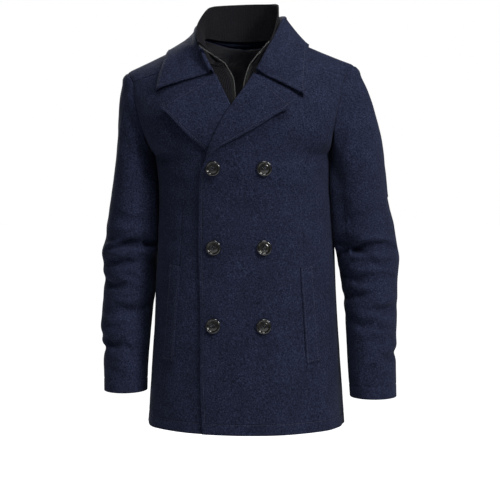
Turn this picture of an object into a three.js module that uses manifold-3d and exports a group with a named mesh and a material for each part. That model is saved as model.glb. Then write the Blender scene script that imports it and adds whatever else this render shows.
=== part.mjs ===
// A double-breasted wool pea coat, hollow and in the pose in which it is worn.
// Millimetres, +Z up, the front faces -Y and the wearer's left is +X.
// The origin is between the shoulders, level with the neck end of the shoulder line.

import * as THREE from 'three';
import { mergeVertices } from 'three/addons/utils/BufferGeometryUtils.js';
import Module from 'manifold-3d';

const wasm = await Module();
wasm.setup();

// Driving sizes
const wool = 3; // wall of the coat's panels
const lapelWool = 2.8; // wall of a lapel
const collarWool = 3.2; // wall of the folded collar
const knit = 2.4; // wall of the bib
const seam = 0.4; // gap between neighbouring pieces
const buttonRadius = 14;
const buttonHeight = 4.6;
const shoulderLean = -12; // how far the shoulders sway to the wearer's right
const shoulderTilt = 6; // how far the left shoulder is raised and the right one lowered

// Colours
const navy = { color: 0x23273f, roughness: 0.95, metalness: 0 };
const charcoal = { color: 0x202124, roughness: 0.95, metalness: 0 };
const grey = { color: 0x5b5e5c, roughness: 0.8, metalness: 0 };
const horn = { color: 0x17140f, roughness: 0.25, metalness: 0 };

const point = (x, y, z) => new THREE.Vector3(x, y, z);
const mix = (a, b, t) => a + (b - a) * t;
const smooth = (from, to, x) => THREE.MathUtils.smoothstep(x, from, to);
// 1 at or below "low", 0 at or above "high"
const fade = (low, high, x) => 1 - smooth(low, high, x);
// Rows of values under named columns
const table = (names, rows) =>
  rows.map((row) => Object.fromEntries(names.map((name, i) => [name, row[i]])));
const curve = (rows, x, y, z) =>
  new THREE.CatmullRomCurve3(rows.map((row) => point(row[x], row[y], row[z])));
// A cubic from a to b, which leaves and arrives along the two pulls
const pulled = (a, leave, b, arrive, t) =>
  a.clone().multiplyScalar(2 * t ** 3 - 3 * t ** 2 + 1)
    .addScaledVector(leave, t ** 3 - 2 * t ** 2 + t)
    .addScaledVector(b, 3 * t ** 2 - 2 * t ** 3)
    .addScaledVector(arrive, t ** 3 - t ** 2);

// Half sections of the body, from the front hem over the shoulder to the back hem.
// cy, cz: the middle of the front or back. bx, by, bz: the side seam, then the armhole.
// run, dip: the pull at the middle. tx, ty, tz: the pull at the side.
const sections = table(['at', 'cy', 'cz', 'bx', 'by', 'bz', 'run', 'dip', 'tx', 'ty', 'tz'], [
  ['front hem', -143, -752, 193, -4, -746, 350, 0, 0, 285, 0],
  ['hip', -138, -626, 184, -4, -626, 335, 0, 0, 275, 0],
  ['pocket', -130, -500, 176, -4, -500, 320, 0, 0, 265, 0],
  ['waist', -125, -360, 171, -4, -360, 310, 0, 0, 255, 0],
  ['chest', -128, -285, 169, -2, -285, 310, 0, 0, 260, 0],
  ['armpit', -128, -222, 170, 0, -228, 300, 0, 0, 250, 0],
  ['low armhole', -125, -180, 179, -40, -205, 275, 0, 35, 225, 0],
  ['mid armhole', -117, -135, 190, -54, -165, 262, 0, 85, 185, -10],
  ['high armhole', -101, -85, 201, -47, -120, 250, -8, 125, 145, -22],
  ['shoulder seam', -78, -35, 208, -30, -82, 225, -30, 150, 90, -45],
  ['yoke', -42, 10, 218, -13, -67, 222, -68, 195, 40, -78],
  ['crest', 0, 31, 224, 5, -61, 220, -85, 215, 5, -95],
  ['back yoke', 46, 12, 219, 24, -69, 228, -62, 190, -45, -75],
  ['back high armhole', 84, -45, 207, 48, -107, 240, -28, 110, -130, -35],
  ['back mid armhole', 107, -110, 193, 58, -162, 258, -10, 70, -170, -12],
  ['back low armhole', 117, -172, 180, 40, -206, 265, 0, 32, -205, 0],
  ['back armpit', 119, -222, 170, 0, -228, 288, 0, 0, -238, 0],
  ['back chest', 113, -285, 169, -2, -285, 292, 0, 0, -235, 0],
  ['back waist', 100, -360, 171, -4, -360, 290, 0, 0, -218, 0],
  ['seat', 108, -500, 176, -4, -500, 300, 0, 0, -232, 0],
  ['back hip', 122, -626, 184, -4, -626, 320, 0, 0, -252, 0],
  ['back hem', 131, -748, 193, -4, -746, 335, 0, 0, -270, 0],
]);
const lastRow = sections.length - 1;
const rowOf = (name) => sections.findIndex((row) => row.at === name);
const armpit = rowOf('armpit');
const backArmpit = rowOf('back armpit');
const crest = rowOf('crest');
const shoulderSeam = rowOf('shoulder seam');
const flat = sections.map((row) => ({ ...row, zero: 0 }));
const middle = curve(flat, 'zero', 'cy', 'cz');
const middlePull = curve(flat, 'run', 'zero', 'dip');
const sidePull = curve(flat, 'tx', 'ty', 'tz');
const sideSeam = curve(sections.slice(0, armpit + 1), 'bx', 'by', 'bz');
const armhole = curve(sections.slice(armpit, backArmpit), 'bx', 'by', 'bz');
armhole.closed = true;

// The long soft folds of the skirt. u: 0 centre front, 1 side seam, 2 centre back.
const drapes = [
  { side: 1, u: 0.62, wide: 0.1, out: 3.5, top: -430 },
  { side: 1, u: 0.93, wide: 0.08, out: -3, top: -480 },
  { side: 1, u: 1.28, wide: 0.11, out: 4, top: -420 },
  { side: 1, u: 1.62, wide: 0.09, out: -3.5, top: -500 },
  { side: -1, u: 0.66, wide: 0.09, out: 3, top: -470 },
  { side: -1, u: 0.9, wide: 0.1, out: -3.5, top: -440 },
  { side: -1, u: 1.22, wide: 0.1, out: 3.5, top: -490 },
  { side: -1, u: 1.55, wide: 0.12, out: -4, top: -430 },
];
const hem = sections[0].bz;

// The shoulders sway and tilt; the skirt hangs straight.
const sway = { from: -350, full: -120 };
const tilt = { from: -320, full: -60 };
function pose(p) {
  const high = smooth(sway.from, sway.full, p.z);
  const tilted = smooth(tilt.from, tilt.full, p.z) * (p.x / sections[crest].bx);
  return p.set(p.x + shoulderLean * high, p.y, p.z + shoulderTilt * tilted);
}

function sideAt(v) {
  if (v <= armpit) return sideSeam.getPoint(Math.max(v, 0) / armpit);
  if (v >= backArmpit) return sideSeam.getPoint(Math.max(lastRow - v, 0) / armpit);
  return armhole.getPoint((v - armpit) / (backArmpit - armpit));
}

// A point of the body's outer skin. s: 0 middle, 1 side, negative on the wearer's right.
function bodyPoint(s, v) {
  const row = THREE.MathUtils.clamp(v / lastRow, 0, 1);
  const [leave, arrive] = [middlePull.getPoint(row), sidePull.getPoint(row)];
  const p = pulled(middle.getPoint(row), leave, sideAt(v), arrive, Math.abs(s));
  if (s < 0) p.x = -p.x;
  return pose(p);
}

// The skin with its outward normal, raised by "lift"
const step = 0.004;
function skin(s, v, lift = 0) {
  const p = bodyPoint(s, v);
  const across = bodyPoint(s + step, v).sub(bodyPoint(s - step, v));
  const up = bodyPoint(s, Math.min(v + step, lastRow)).sub(bodyPoint(s, Math.max(v - step, 0)));
  const n = across.cross(up).normalize();
  const u = v < crest ? Math.abs(s) : 2 - Math.abs(s);
  let raise = lift;
  for (const fold of drapes) {
    if (Math.sign(s || 1) !== fold.side) continue;
    raise += fold.out * Math.exp(-(((u - fold.u) / fold.wide) ** 2)) * fade(hem, fold.top, p.z);
  }
  return { p: p.addScaledVector(n, raise), n };
}

// The skin where two of its coordinates have the wanted values, by Newton's steps
const newtonSteps = 14;
const longest = { s: 0.2, v: 0.8 }; // of one such step
function skinAt(want, s, v, lift = 0) {
  const [i, j] = Object.keys(want);
  for (let turn = 0; turn < newtonSteps; turn += 1) {
    const p = bodyPoint(s, v);
    const ds = bodyPoint(s + step, v).sub(p).divideScalar(step);
    const dv = bodyPoint(s, v + step).sub(p).divideScalar(step);
    const ei = want[i] - p[i];
    const ej = want[j] - p[j];
    const det = ds[i] * dv[j] - dv[i] * ds[j];
    s += THREE.MathUtils.clamp((ei * dv[j] - dv[i] * ej) / det, -longest.s, longest.s);
    v += THREE.MathUtils.clamp((ds[i] * ej - ei * ds[j]) / det, -longest.v, longest.v);
  }
  return skin(s, v, lift);
}
// First guesses on the front: a row from the height, a share of the section from x
const frontGuess = { rows: 8, top: hem * 0.12, first: 0.2, last: 8.6, halfWidth: 190 };
const guessRow = (z) => {
  const row = (frontGuess.rows * (z - hem)) / (frontGuess.top - hem);
  return THREE.MathUtils.clamp(row, frontGuess.first, frontGuess.last);
};
const frontAt = (x, z, lift = 0) => skinAt({ x, z }, x / frontGuess.halfWidth, guessRow(z), lift);

// How far each front stands off the skin: the left one lies over the right one,
// and over the right lapel where it turns back.
const layers = { over: 3, under: 1.4, lapel: 3.6 };
const lapped = { full: 75, none: 125 }; // out from the middle
const openNeck = { none: -135, full: -85 }; // height
const breakPoint = { none: -300, full: -246 };
function frontLift(side, x, z) {
  const inward = fade(lapped.full, lapped.none, side * x);
  const below = fade(openNeck.none, openNeck.full, z);
  const overLapel = smooth(breakPoint.none, breakPoint.full, z) * below;
  if (side < 0) return -layers.under * inward * below;
  return inward * (layers.over * below + layers.lapel * overLapel);
}

// A closed wall. at(a, b) gives the outer face's point and normal, a and b from 0 to 1.
function wall(at, across, along, thickness) {
  const columns = across + 1;
  const positions = [];
  const faces = [];
  for (const depth of [0, thickness]) {
    for (let j = 0; j <= along; j += 1) {
      for (let i = 0; i < columns; i += 1) {
        const { p, n } = at(i / across, j / along);
        const q = p.clone().addScaledVector(n, -depth);
        positions.push(q.x, q.y, q.z);
      }
    }
  }
  const layer = columns * (along + 1);
  const index = (i, j, under) => i + j * columns + (under ? layer : 0);
  const quad = (a, b, c, d) => faces.push(a, b, c, a, c, d);
  for (let j = 0; j < along; j += 1) {
    for (let i = 0; i < across; i += 1) {
      quad(index(i, j), index(i + 1, j), index(i + 1, j + 1), index(i, j + 1));
      quad(index(i, j, 1), index(i, j + 1, 1), index(i + 1, j + 1, 1), index(i + 1, j, 1));
    }
    quad(index(0, j), index(0, j + 1), index(0, j + 1, 1), index(0, j, 1));
    quad(index(across, j), index(across, j, 1), index(across, j + 1, 1), index(across, j + 1));
  }
  for (let i = 0; i < across; i += 1) {
    quad(index(i, 0), index(i, 0, 1), index(i + 1, 0, 1), index(i + 1, 0));
    quad(index(i, along), index(i + 1, along), index(i + 1, along, 1), index(i, along, 1));
  }
  const geometry = new THREE.BufferGeometry();
  geometry.setAttribute('position', new THREE.Float32BufferAttribute(positions, 3));
  geometry.setIndex(faces);
  return outward(geometry);
}

// Turns a closed geometry's faces out when its volume comes out negative
function outward(geometry) {
  const place = geometry.attributes.position;
  const index = geometry.index.array;
  const [a, b, c] = [point(), point(), point()];
  let volume = 0;
  for (let i = 0; i < index.length; i += 3) {
    a.fromBufferAttribute(place, index[i]);
    b.fromBufferAttribute(place, index[i + 1]);
    c.fromBufferAttribute(place, index[i + 2]);
    volume += a.dot(b.cross(c));
  }
  if (volume < 0) {
    for (let i = 0; i < index.length; i += 3) {
      [index[i + 1], index[i + 2]] = [index[i + 2], index[i + 1]];
    }
  }
  geometry.computeVertexNormals();
  return geometry;
}

// Gives a point function its normals; "flip" turns them round
function withNormals(pointAt, flip = false) {
  const h = 0.002;
  return (a, b) => {
    const da = pointAt(a + h, b).sub(pointAt(a - h, b));
    const db = pointAt(a, Math.min(b + h, 1)).sub(pointAt(a, Math.max(b - h, 0)));
    const n = da.cross(db).normalize();
    return { p: pointAt(a, b), n: flip ? n.negate() : n };
  };
}

// The same for points that are pushed clear of others: normals from the neighbouring points
function gridNormals(pointAt, across, along, flip = false) {
  const grid = [];
  for (let j = 0; j <= along; j += 1) {
    for (let i = 0; i <= across; i += 1) grid.push(pointAt(i / across, j / along));
  }
  const spot = (i, j) =>
    grid[Math.min(Math.max(j, 0), along) * (across + 1) + Math.min(Math.max(i, 0), across)];
  return (a, b) => {
    const i = Math.round(a * across);
    const j = Math.round(b * along);
    const da = spot(i + 1, j).clone().sub(spot(i - 1, j));
    const db = spot(i, j + 1).clone().sub(spot(i, j - 1));
    const n = da.cross(db).normalize();
    return { p: spot(i, j).clone(), n: flip ? n.negate() : n };
  };
}

const coat = new THREE.Group();
function add(name, geometry, finish) {
  const mesh = new THREE.Mesh(geometry, new THREE.MeshStandardMaterial(finish));
  mesh.name = name;
  coat.add(mesh);
  return mesh;
}

// Section numbers at which the panels have a row of points, from "first" to "last".
// A step is finer round the armhole, where the sleeve's columns start from the same rows.
function rowList(first, last) {
  const list = [];
  for (let row = first; row < last; row += 1) {
    const nearArm = row >= armpit - 1 && row <= backArmpit;
    const count = nearArm ? 2 : 3;
    for (let k = 0; k < count; k += 1) list.push(row + k / count);
  }
  list.push(last);
  return list;
}
function rowAt(list, b) {
  const place = THREE.MathUtils.clamp(b, 0, 1) * (list.length - 1);
  const k = Math.min(Math.floor(place), list.length - 2);
  return mix(list[k], list[k + 1], place - k);
}

// The share of a section, from the middle, at which "past" turns positive
const halvings = 26;
function crossing(past, side, v, from, to) {
  let low = from;
  let high = to;
  for (let turn = 0; turn < halvings; turn += 1) {
    const t = (low + high) / 2;
    if (past(bodyPoint(side * t, v)) > 0) high = t;
    else low = t;
  }
  return high;
}

// The neck seam in plan, longer in front than behind
const neck = { x: -8, y: -2, wide: 79, front: 110, back: 70 };
function pastNeck(p) {
  const deep = p.y < neck.y ? neck.front : neck.back;
  return ((p.x - neck.x) / neck.wide) ** 2 + ((p.y - neck.y) / deep) ** 2 - 1;
}

const sides = { left: 1, right: -1 };
const sideGap = seam / 2 / 260; // half a seam as a share of a section's side pull
const middleGap = seam / 2 / 300; // and of its middle pull
const rowGap = 0.008; // half a seam along the shoulder, as a share of a row

// Back panels, from the back hem over the shoulder to the forward shoulder seam
const backRows = rowList(shoulderSeam, lastRow);
backRows[0] += rowGap;
function backPanel(side) {
  return (a, b) => {
    const v = rowAt(backRows, b);
    const open = pastNeck(bodyPoint(0, v)) < 0;
    const inner = open ? crossing(pastNeck, side, v, 0, 1) : middleGap;
    return skin(side * mix(Math.max(inner, middleGap), 1 - sideGap, a), v);
  };
}

// The free edge of each front, seen from the front: the front edge up to the break,
// the line on which the lapel rolls, then the neck seam.
const frontEdge = [
  { z: -760, left: -67, right: 67 },
  { z: -650, left: -72, right: 72 },
  { z: -400, left: -77, right: 77 },
  { z: -290, left: -76.5, right: 77 },
  { z: -262, left: -73, right: 74 },
  { z: -244, left: -65, right: 66 },
  { z: -222, left: -56, right: 50 },
  { z: -193, left: -44, right: 27 },
  { z: -170, left: -33, right: 8 },
  { z: -141, left: -16, right: -16 },
  { z: -113, left: 5, right: -31.5 },
  { z: -92, left: 18, right: -41 },
  { z: -72, left: 29, right: -51 },
  { z: -58, left: 38, right: -60 },
  { z: -44, left: 51, right: -69 },
  { z: -20, left: 60, right: -78 },
];
function edgeX(name, z) {
  let k = frontEdge.findIndex((row) => row.z >= z);
  if (k < 1) k = k === 0 ? 1 : frontEdge.length - 1;
  const [low, high] = [frontEdge[k - 1], frontEdge[k]];
  return mix(low[name], high[name], (z - low.z) / (high.z - low.z));
}

// A front's skin with its own lift over the body
function frontSkin(side, s, v, extra = 0) {
  const { p } = skin(s, v);
  return skin(s, v, frontLift(side, p.x, p.z) + extra);
}
const frontRows = rowList(0, shoulderSeam);
frontRows[frontRows.length - 1] -= rowGap;
function frontPanel(name) {
  const side = sides[name];
  const past = (p) => side * (p.x - edgeX(name, p.z));
  return (a, b) => {
    const v = rowAt(frontRows, b);
    const inner = crossing(past, side, v, -0.8, 0.95);
    return frontSkin(side, side * mix(inner, 1 - sideGap, a), v);
  };
}

const panelColumns = { back: 10, front: 12 };
for (const [name, side] of Object.entries(sides)) {
  const back = wall(backPanel(side), panelColumns.back, backRows.length - 1, wool);
  const front = wall(frontPanel(name), panelColumns.front, frontRows.length - 1, wool);
  add(`back_${name}`, back, navy);
  add(`front_${name}`, front, navy);
}

// Sleeves: a cap from the armhole to the first ring, then rings down the arm.
// x, y: the ring's middle, out from the coat's middle plane. wide, deep: half widths.
const sleeveRings = {
  left: [
    { z: -245, x: 218.5, y: -2, wide: 51.5, deep: 67 },
    { z: -302, x: 222.5, y: -1, wide: 52.5, deep: 67 },
    { z: -361, x: 230, y: 1, wide: 57, deep: 65 },
    { z: -427, x: 236.5, y: 2, wide: 59, deep: 63 },
    { z: -480, x: 240, y: -3, wide: 54, deep: 60 },
    { z: -550, x: 243.5, y: -14, wide: 49.5, deep: 57 },
    { z: -630, x: 245, y: -27, wide: 46, deep: 54 },
    { z: -689, x: 248, y: -35, wide: 44.5, deep: 53 },
  ],
  right: [
    { z: -245, x: 218, y: 10, wide: 40, deep: 72 },
    { z: -302, x: 221, y: 11, wide: 45, deep: 71 },
    { z: -361, x: 225, y: 12, wide: 50, deep: 68 },
    { z: -427, x: 229.5, y: 12, wide: 52, deep: 65 },
    { z: -480, x: 229.5, y: 6, wide: 51, deep: 61 },
    { z: -550, x: 234, y: -6, wide: 49, deep: 57 },
    { z: -630, x: 233, y: -20, wide: 43.5, deep: 55 },
    { z: -685, x: 232, y: -28, wide: 41.5, deep: 54 },
  ],
};
// Creases across the sleeves. turn: degrees from the outside, 90 in front, -90 behind.
// slant: how far the crease falls over 90 degrees towards the inside.
const creases = {
  left: [
    { z: -402, turn: 110, spread: 60, deep: 7, high: 11, slant: -14 },
    { z: -462, turn: 125, spread: 45, deep: 5, high: 10, slant: -16 },
    { z: -498, turn: 140, spread: 45, deep: 5, high: 9, slant: 10 },
    { z: -524, turn: 50, spread: 42, deep: 4.5, high: 9, slant: 8 },
    { z: -552, turn: 100, spread: 60, deep: 5, high: 10, slant: -18 },
    { z: -610, turn: 20, spread: 50, deep: 4, high: 9, slant: 12 },
    { z: -418, turn: -70, spread: 50, deep: 5, high: 13, slant: 10 },
    { z: -470, turn: -110, spread: 55, deep: 6, high: 12, slant: -12 },
    { z: -545, turn: -80, spread: 45, deep: 4, high: 12, slant: 14 },
  ],
  right: [
    { z: -396, turn: 105, spread: 70, deep: 7, high: 11, slant: 8 },
    { z: -434, turn: 85, spread: 50, deep: 5, high: 9, slant: -10 },
    { z: -478, turn: 60, spread: 55, deep: 5.5, high: 10, slant: 12 },
    { z: -528, turn: 110, spread: 55, deep: 5, high: 10, slant: -10 },
    { z: -592, turn: 70, spread: 60, deep: 6, high: 11, slant: 14 },
    { z: -602, turn: 0, spread: 35, deep: 4, high: 8, slant: -6 },
    { z: -410, turn: -80, spread: 55, deep: 5, high: 12, slant: -8 },
    { z: -480, turn: -100, spread: 50, deep: 6, high: 13, slant: 12 },
    { z: -560, turn: -75, spread: 45, deep: 4, high: 11, slant: -14 },
  ],
};

// The sleeve's columns start from the panels' rows round the armhole, from the armpit
// over the front of the arm, the crest and the back of the arm to the armpit again.
const armRows = rowList(armpit, backArmpit);
const columns = armRows.length - 1;
const armholePoints = armRows.map((v) => sideAt(v));
const crestColumn = armRows.indexOf(crest);
const lengths = [0];
for (let k = 1; k <= columns; k += 1) {
  lengths.push(lengths[k - 1] + armholePoints[k].distanceTo(armholePoints[k - 1]));
}
function turnOf(c) {
  const k = Math.min(Math.floor(c), columns - 1);
  const run = mix(lengths[k], lengths[k + 1], c - k);
  const top = lengths[crestColumn];
  if (run <= top) return Math.PI * (1 - run / top);
  return (-Math.PI * (run - top)) / (lengths[columns] - top);
}

const capRows = 6;
const armSteps = 22;
const swell = { share: 0.35, at: 1.9 }; // of the cloth beside a crease, in half heights
const inside = { from: 0.75, full: 0.95 }; // where a sleeve faces the coat and doesn't swell
const leaving = { from: 0.5, full: 0.85 }; // where the cap turns from out to down
const capPull = { crown: 0.75, crownEnd: 1.1, armpit: 0.9 }; // shares of the cap's reach
function sleeve(name) {
  const side = sides[name];
  const rings = sleeveRings[name].map((row) => ({ ...row, x: side * row.x, zero: 0 }));
  const centre = curve(rings, 'x', 'y', 'z');
  const size = curve(rings, 'wide', 'deep', 'zero');
  const ringPoint = (turn, t) => {
    const c = centre.getPoint(t);
    const half = size.getPoint(t);
    return point(c.x + side * half.x * Math.cos(turn), c.y - half.y * Math.sin(turn), c.z);
  };
  const fold = (p, turn, t) => {
    const c = centre.getPoint(t);
    let push = 0;
    for (const crease of creases[name]) {
      let away = THREE.MathUtils.radToDeg(turn) - crease.turn;
      away -= 360 * Math.round(away / 360);
      const line = crease.z - (crease.slant * away) / 90;
      const reach = Math.exp(-((away / crease.spread) ** 2));
      const q = (p.z - line) / crease.high;
      const beside = swell.share * Math.exp(-((q - swell.at) ** 2));
      push += crease.deep * reach * (beside - Math.exp(-(q * q)));
    }
    const out = point(p.x - c.x, p.y - c.y, 0).normalize();
    const inner = 0.5 * (1 - Math.cos(turn));
    const held = mix(push, 0, smooth(inside.from, inside.full, inner));
    return p.addScaledVector(out, Math.min(push, held));
  };
  // c: column, w: 0 to 1 over the cap, 1 to 2 down the arm
  return (c, w) => {
    const around = ((c % columns) + columns) % columns;
    const turn = turnOf(around);
    if (w > 1) return fold(ringPoint(turn, w - 1), turn, w - 1);
    const v = rowAt(armRows, around / columns);
    const start = sideAt(v);
    start.x *= side;
    pose(start);
    const inner = Math.abs(turn) / Math.PI;
    const off = bodyPoint(side, v).sub(bodyPoint(side * (1 - step), v)).normalize();
    const fall = point(side * 0.3, 0, -1).normalize();
    const leave = off.clone().lerp(fall, smooth(leaving.from, leaving.full, inner)).normalize();
    start.addScaledVector(off, seam).add(point(side * seam * smooth(0.3, 0.8, inner), 0, 0));
    const end = ringPoint(turn, 0);
    const reach = start.distanceTo(end);
    const arrive = ringPoint(turn, 0.02).sub(end).normalize();
    leave.multiplyScalar(reach * mix(capPull.crown, capPull.armpit, inner));
    arrive.multiplyScalar(reach * mix(capPull.crownEnd, capPull.armpit, inner));
    return pulled(start, leave, end, arrive, w);
  };
}

// Two pieces to a sleeve: the under sleeve passes below the armpit.
const frontSeam = 3; // the column of each seam
const hindSeam = 19;
const columnGap = seam / 2 / 21; // half a seam as a share of a column's width
for (const name of Object.keys(sides)) {
  const at = sleeve(name);
  const down = (b) => {
    const place = b * (capRows + armSteps);
    return place < capRows ? place / capRows : 1 + (place - capRows) / armSteps;
  };
  const strip = (from, to) =>
    withNormals((a, b) => at(mix(from, to, a), down(b)), sides[name] > 0);
  const upper = strip(frontSeam + columnGap, hindSeam - columnGap);
  const under = strip(hindSeam + columnGap, frontSeam + columns - columnGap);
  const rows = capRows + armSteps;
  add(`sleeve_upper_${name}`, wall(upper, hindSeam - frontSeam, rows, wool), navy);
  add(`sleeve_under_${name}`, wall(under, frontSeam + columns - hindSeam, rows, wool), navy);
}

// Lapels. roll: on the line where the front turns back. edge: on the free edge.
const lapels = {
  left: [
    { rollX: -62, rollZ: -239, edgeX: -57, edgeZ: -238 },
    { rollX: -54, rollZ: -219, edgeX: -37, edgeZ: -217 },
    { rollX: -43, rollZ: -191, edgeX: 0, edgeZ: -197 },
    { rollX: -25, rollZ: -156, edgeX: 37, edgeZ: -176 },
    { rollX: -5, rollZ: -127, edgeX: 70, edgeZ: -155 },
    { rollX: 13, rollZ: -99, edgeX: 89, edgeZ: -146 },
    { rollX: 27, rollZ: -75, edgeX: 97, edgeZ: -138 },
  ],
  right: [
    { rollX: -46, rollZ: -236, edgeX: -52, edgeZ: -232 },
    { rollX: -31, rollZ: -207, edgeX: -74, edgeZ: -211 },
    { rollX: -14, rollZ: -178, edgeX: -97, edgeZ: -190 },
    { rollX: -8, rollZ: -152, edgeX: -120, edgeZ: -166 },
    { rollX: -19, rollZ: -136, edgeX: -136, edgeZ: -151 },
    { rollX: -34, rollZ: -108, edgeX: -147, edgeZ: -143 },
    { rollX: -50, rollZ: -77, edgeX: -149, edgeZ: -138 },
  ],
};
const layerGap = 0.6;
const standOff = 4; // how far a lapel's free edge stands off the front
const lapelGrid = { across: 8, along: 10 };
function lapel(name) {
  const side = sides[name];
  const rows = lapels[name].map((row) => ({ ...row, zero: 0 }));
  const roll = curve(rows, 'rollX', 'zero', 'rollZ');
  const edge = curve(rows, 'edgeX', 'zero', 'edgeZ');
  return (a, b) => {
    const p = roll.getPoint(b).lerp(edge.getPoint(b), a);
    const raised = standOff * a * a * smooth(0.05, 0.5, b);
    const lift = frontLift(side, p.x, p.z) + layerGap + lapelWool + raised;
    return frontAt(p.x, p.z, lift);
  };
}
for (const name of Object.keys(sides)) {
  add(`lapel_${name}`, wall(lapel(name), lapelGrid.across, lapelGrid.along, lapelWool), navy);
}

// Welt pockets, slanted, on the fronts' hips
const welt = { topX: 125, topZ: -438, bottomX: 137, bottomZ: -618, wide: 24, thick: 2.6, skew: 4 };
const weltGrid = { across: 2, along: 10 };
function weltAt(side) {
  return (a, b) => {
    const x = side * (mix(welt.bottomX, welt.topX, b) + (a - 0.5) * welt.wide);
    const z = mix(welt.bottomZ, welt.topZ, b) + (a - 0.5) * welt.skew;
    return frontAt(x, z, frontLift(side, x, z) + seam + welt.thick);
  };
}
for (const name of Object.keys(sides)) {
  const strip = wall(weltAt(sides[name]), weltGrid.across, weltGrid.along, welt.thick);
  add(`welt_${name}`, strip, navy);
}

// Collar: one folded wall, up the stand, over the fold and down the fall. A row for each
// station, from the wearer's right front end round the neck to the left one.
// seam, edge: places on the coat, x with "by" (y or z). fold: the top of the fold.
const collarStations = table(['seamX', 'by', 'seamTo', 'foldX', 'foldY', 'foldZ', 'edgeX', 'edgeTo'], [
  [-50, 'z', -73, -51, -104, -67, -162, -108],
  [-60, 'z', -56, -64, -97, -46, -160, -86],
  [-77, 'y', -50, -84, -62, -2, -154, -46],
  [-84, 'y', -8, -93, -12, 22, -148, -6],
  [-79, 'y', 24, -87, 27, 33, -137, 46],
  [-59, 'y', 50, -66, 57, 40, -100, 78],
  [-36, 'y', 62, -40, 71, 44, -56, 93],
  [-8, 'y', 67, -8, 77, 46, -8, 98],
  [20, 'y', 62, 24, 72, 46, 40, 93],
  [43, 'y', 50, 50, 57, 46, 82, 78],
  [63, 'y', 24, 67, 27, 45, 113, 46],
  [68, 'y', -8, 70, -10, 37, 119, 0],
  [60, 'y', -50, 60, -60, 3, 121, -42],
  [41, 'z', -56, 38, -97, -45, 121, -92],
  [29, 'z', -71, 29, -104, -65, 120, -119],
]);
const foldRadius = 5;
const fallClear = collarWool + 1.2;
const standTo = 0.2; // share of the collar's wall that is stand
const foldTo = 0.42; // and at which the fold ends
const fallPull = 0.5; // of the fall's reach, up and out from the fold

// The coat's outer faces near the neck, which the fall must clear
const underCollar = [];
for (const [name, side] of Object.entries(sides)) {
  const front = frontPanel(name);
  const back = backPanel(side);
  for (let i = 0; i <= 16; i += 1) {
    for (let j = 0; j <= 40; j += 1) {
      underCollar.push(front(i / 16, mix(0.7, 1, j / 40)), back(i / 16, mix(0, 0.5, j / 40)));
    }
  }
}
function keepOff(p, clear, spots) {
  let near = spots[0];
  for (const spot of spots) {
    if (spot.p.distanceToSquared(p) < near.p.distanceToSquared(p)) near = spot;
  }
  const height = p.clone().sub(near.p).dot(near.n);
  return height < clear ? p.addScaledVector(near.n, clear - height) : p;
}

function seat(x, by, to, lift) {
  if (by === 'z') return frontAt(x, to, frontLift(Math.sign(x), x, to) + lift).p;
  const v = to > 0 ? crest + 1 : crest - 1;
  return skinAt({ x, y: to }, x / 200, v, lift).p;
}
function collarShape() {
  const rows = collarStations.map((row) => {
    const base = seat(row.seamX, row.by, row.seamTo, 2 * layerGap);
    const edge = seat(row.edgeX, row.by, row.edgeTo, fallClear + 2);
    return { base, edge, fold: point(row.foldX, row.foldY, row.foldZ) };
  });
  const through = (key) => new THREE.CatmullRomCurve3(rows.map((row) => row[key]));
  const base = through('base');
  const fold = through('fold');
  const edge = through('edge');
  return (a, b) => {
    const n = base.getPoint(b);
    const f = fold.getPoint(b);
    const e = edge.getPoint(b);
    const up = f.clone().sub(n);
    const radius = Math.min(foldRadius, up.length() * 0.42);
    up.normalize();
    const out = e.clone().sub(f);
    out.addScaledVector(up, -out.dot(up)).normalize();
    const hub = f.clone().addScaledVector(up, -radius).addScaledVector(out, radius);
    const foot = hub.clone().addScaledVector(out, -radius);
    if (a <= standTo) return n.lerp(foot, a / standTo);
    if (a <= foldTo) {
      const angle = Math.PI * (1 - (a - standTo) / (foldTo - standTo));
      hub.addScaledVector(out, radius * Math.cos(angle));
      return hub.addScaledVector(up, radius * Math.sin(angle));
    }
    const t = (a - foldTo) / (1 - foldTo);
    const from = hub.addScaledVector(out, radius);
    const reach = from.distanceTo(e);
    const leave = out.sub(up).multiplyScalar(reach * fallPull);
    const p = pulled(from, leave, e, e.clone().sub(from), t);
    return keepOff(p, mix(fallClear, fallClear + 2, t), underCollar);
  };
}
const collarColumns = 12;
const collarRows = 34;
const collarPoint = collarShape();
const collarFace = gridNormals(collarPoint, collarColumns, collarRows, true);
add('collar', wall(collarFace, collarColumns, collarRows, collarWool), navy);

// Bib: two knit fronts behind the coat's fronts. zip: on the zip edge. out: the hidden side.
const bibs = {
  left: [
    { zipX: 1, zipZ: -250, outX: 72, outZ: -250 },
    { zipX: 1, zipZ: -190, outX: 76, outZ: -200 },
    { zipX: 3, zipZ: -150, outX: 74, outZ: -155 },
    { zipX: 5, zipZ: -108, outX: 68, outZ: -112 },
    { zipX: 8.5, zipZ: -80, outX: 60, outZ: -80 },
    { zipX: 14, zipZ: -60, outX: 48, outZ: -50 },
  ],
  right: [
    { zipX: -5, zipZ: -250, outX: -78, outZ: -250 },
    { zipX: -6, zipZ: -190, outX: -82, outZ: -200 },
    { zipX: -10, zipZ: -150, outX: -82, outZ: -155 },
    { zipX: -10, zipZ: -108, outX: -78, outZ: -112 },
    { zipX: -15, zipZ: -80, outX: -72, outZ: -80 },
    { zipX: -28, zipZ: -58, outX: -66, outZ: -50 },
  ],
};
const tape = { wide: 6, thick: 1.4, front: 0.6, collarShare: 0.015, seamShare: 0.033 };
const bibDepth = -(layers.under + wool + 1.4); // the knit's outer face, behind the body's skin
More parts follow.
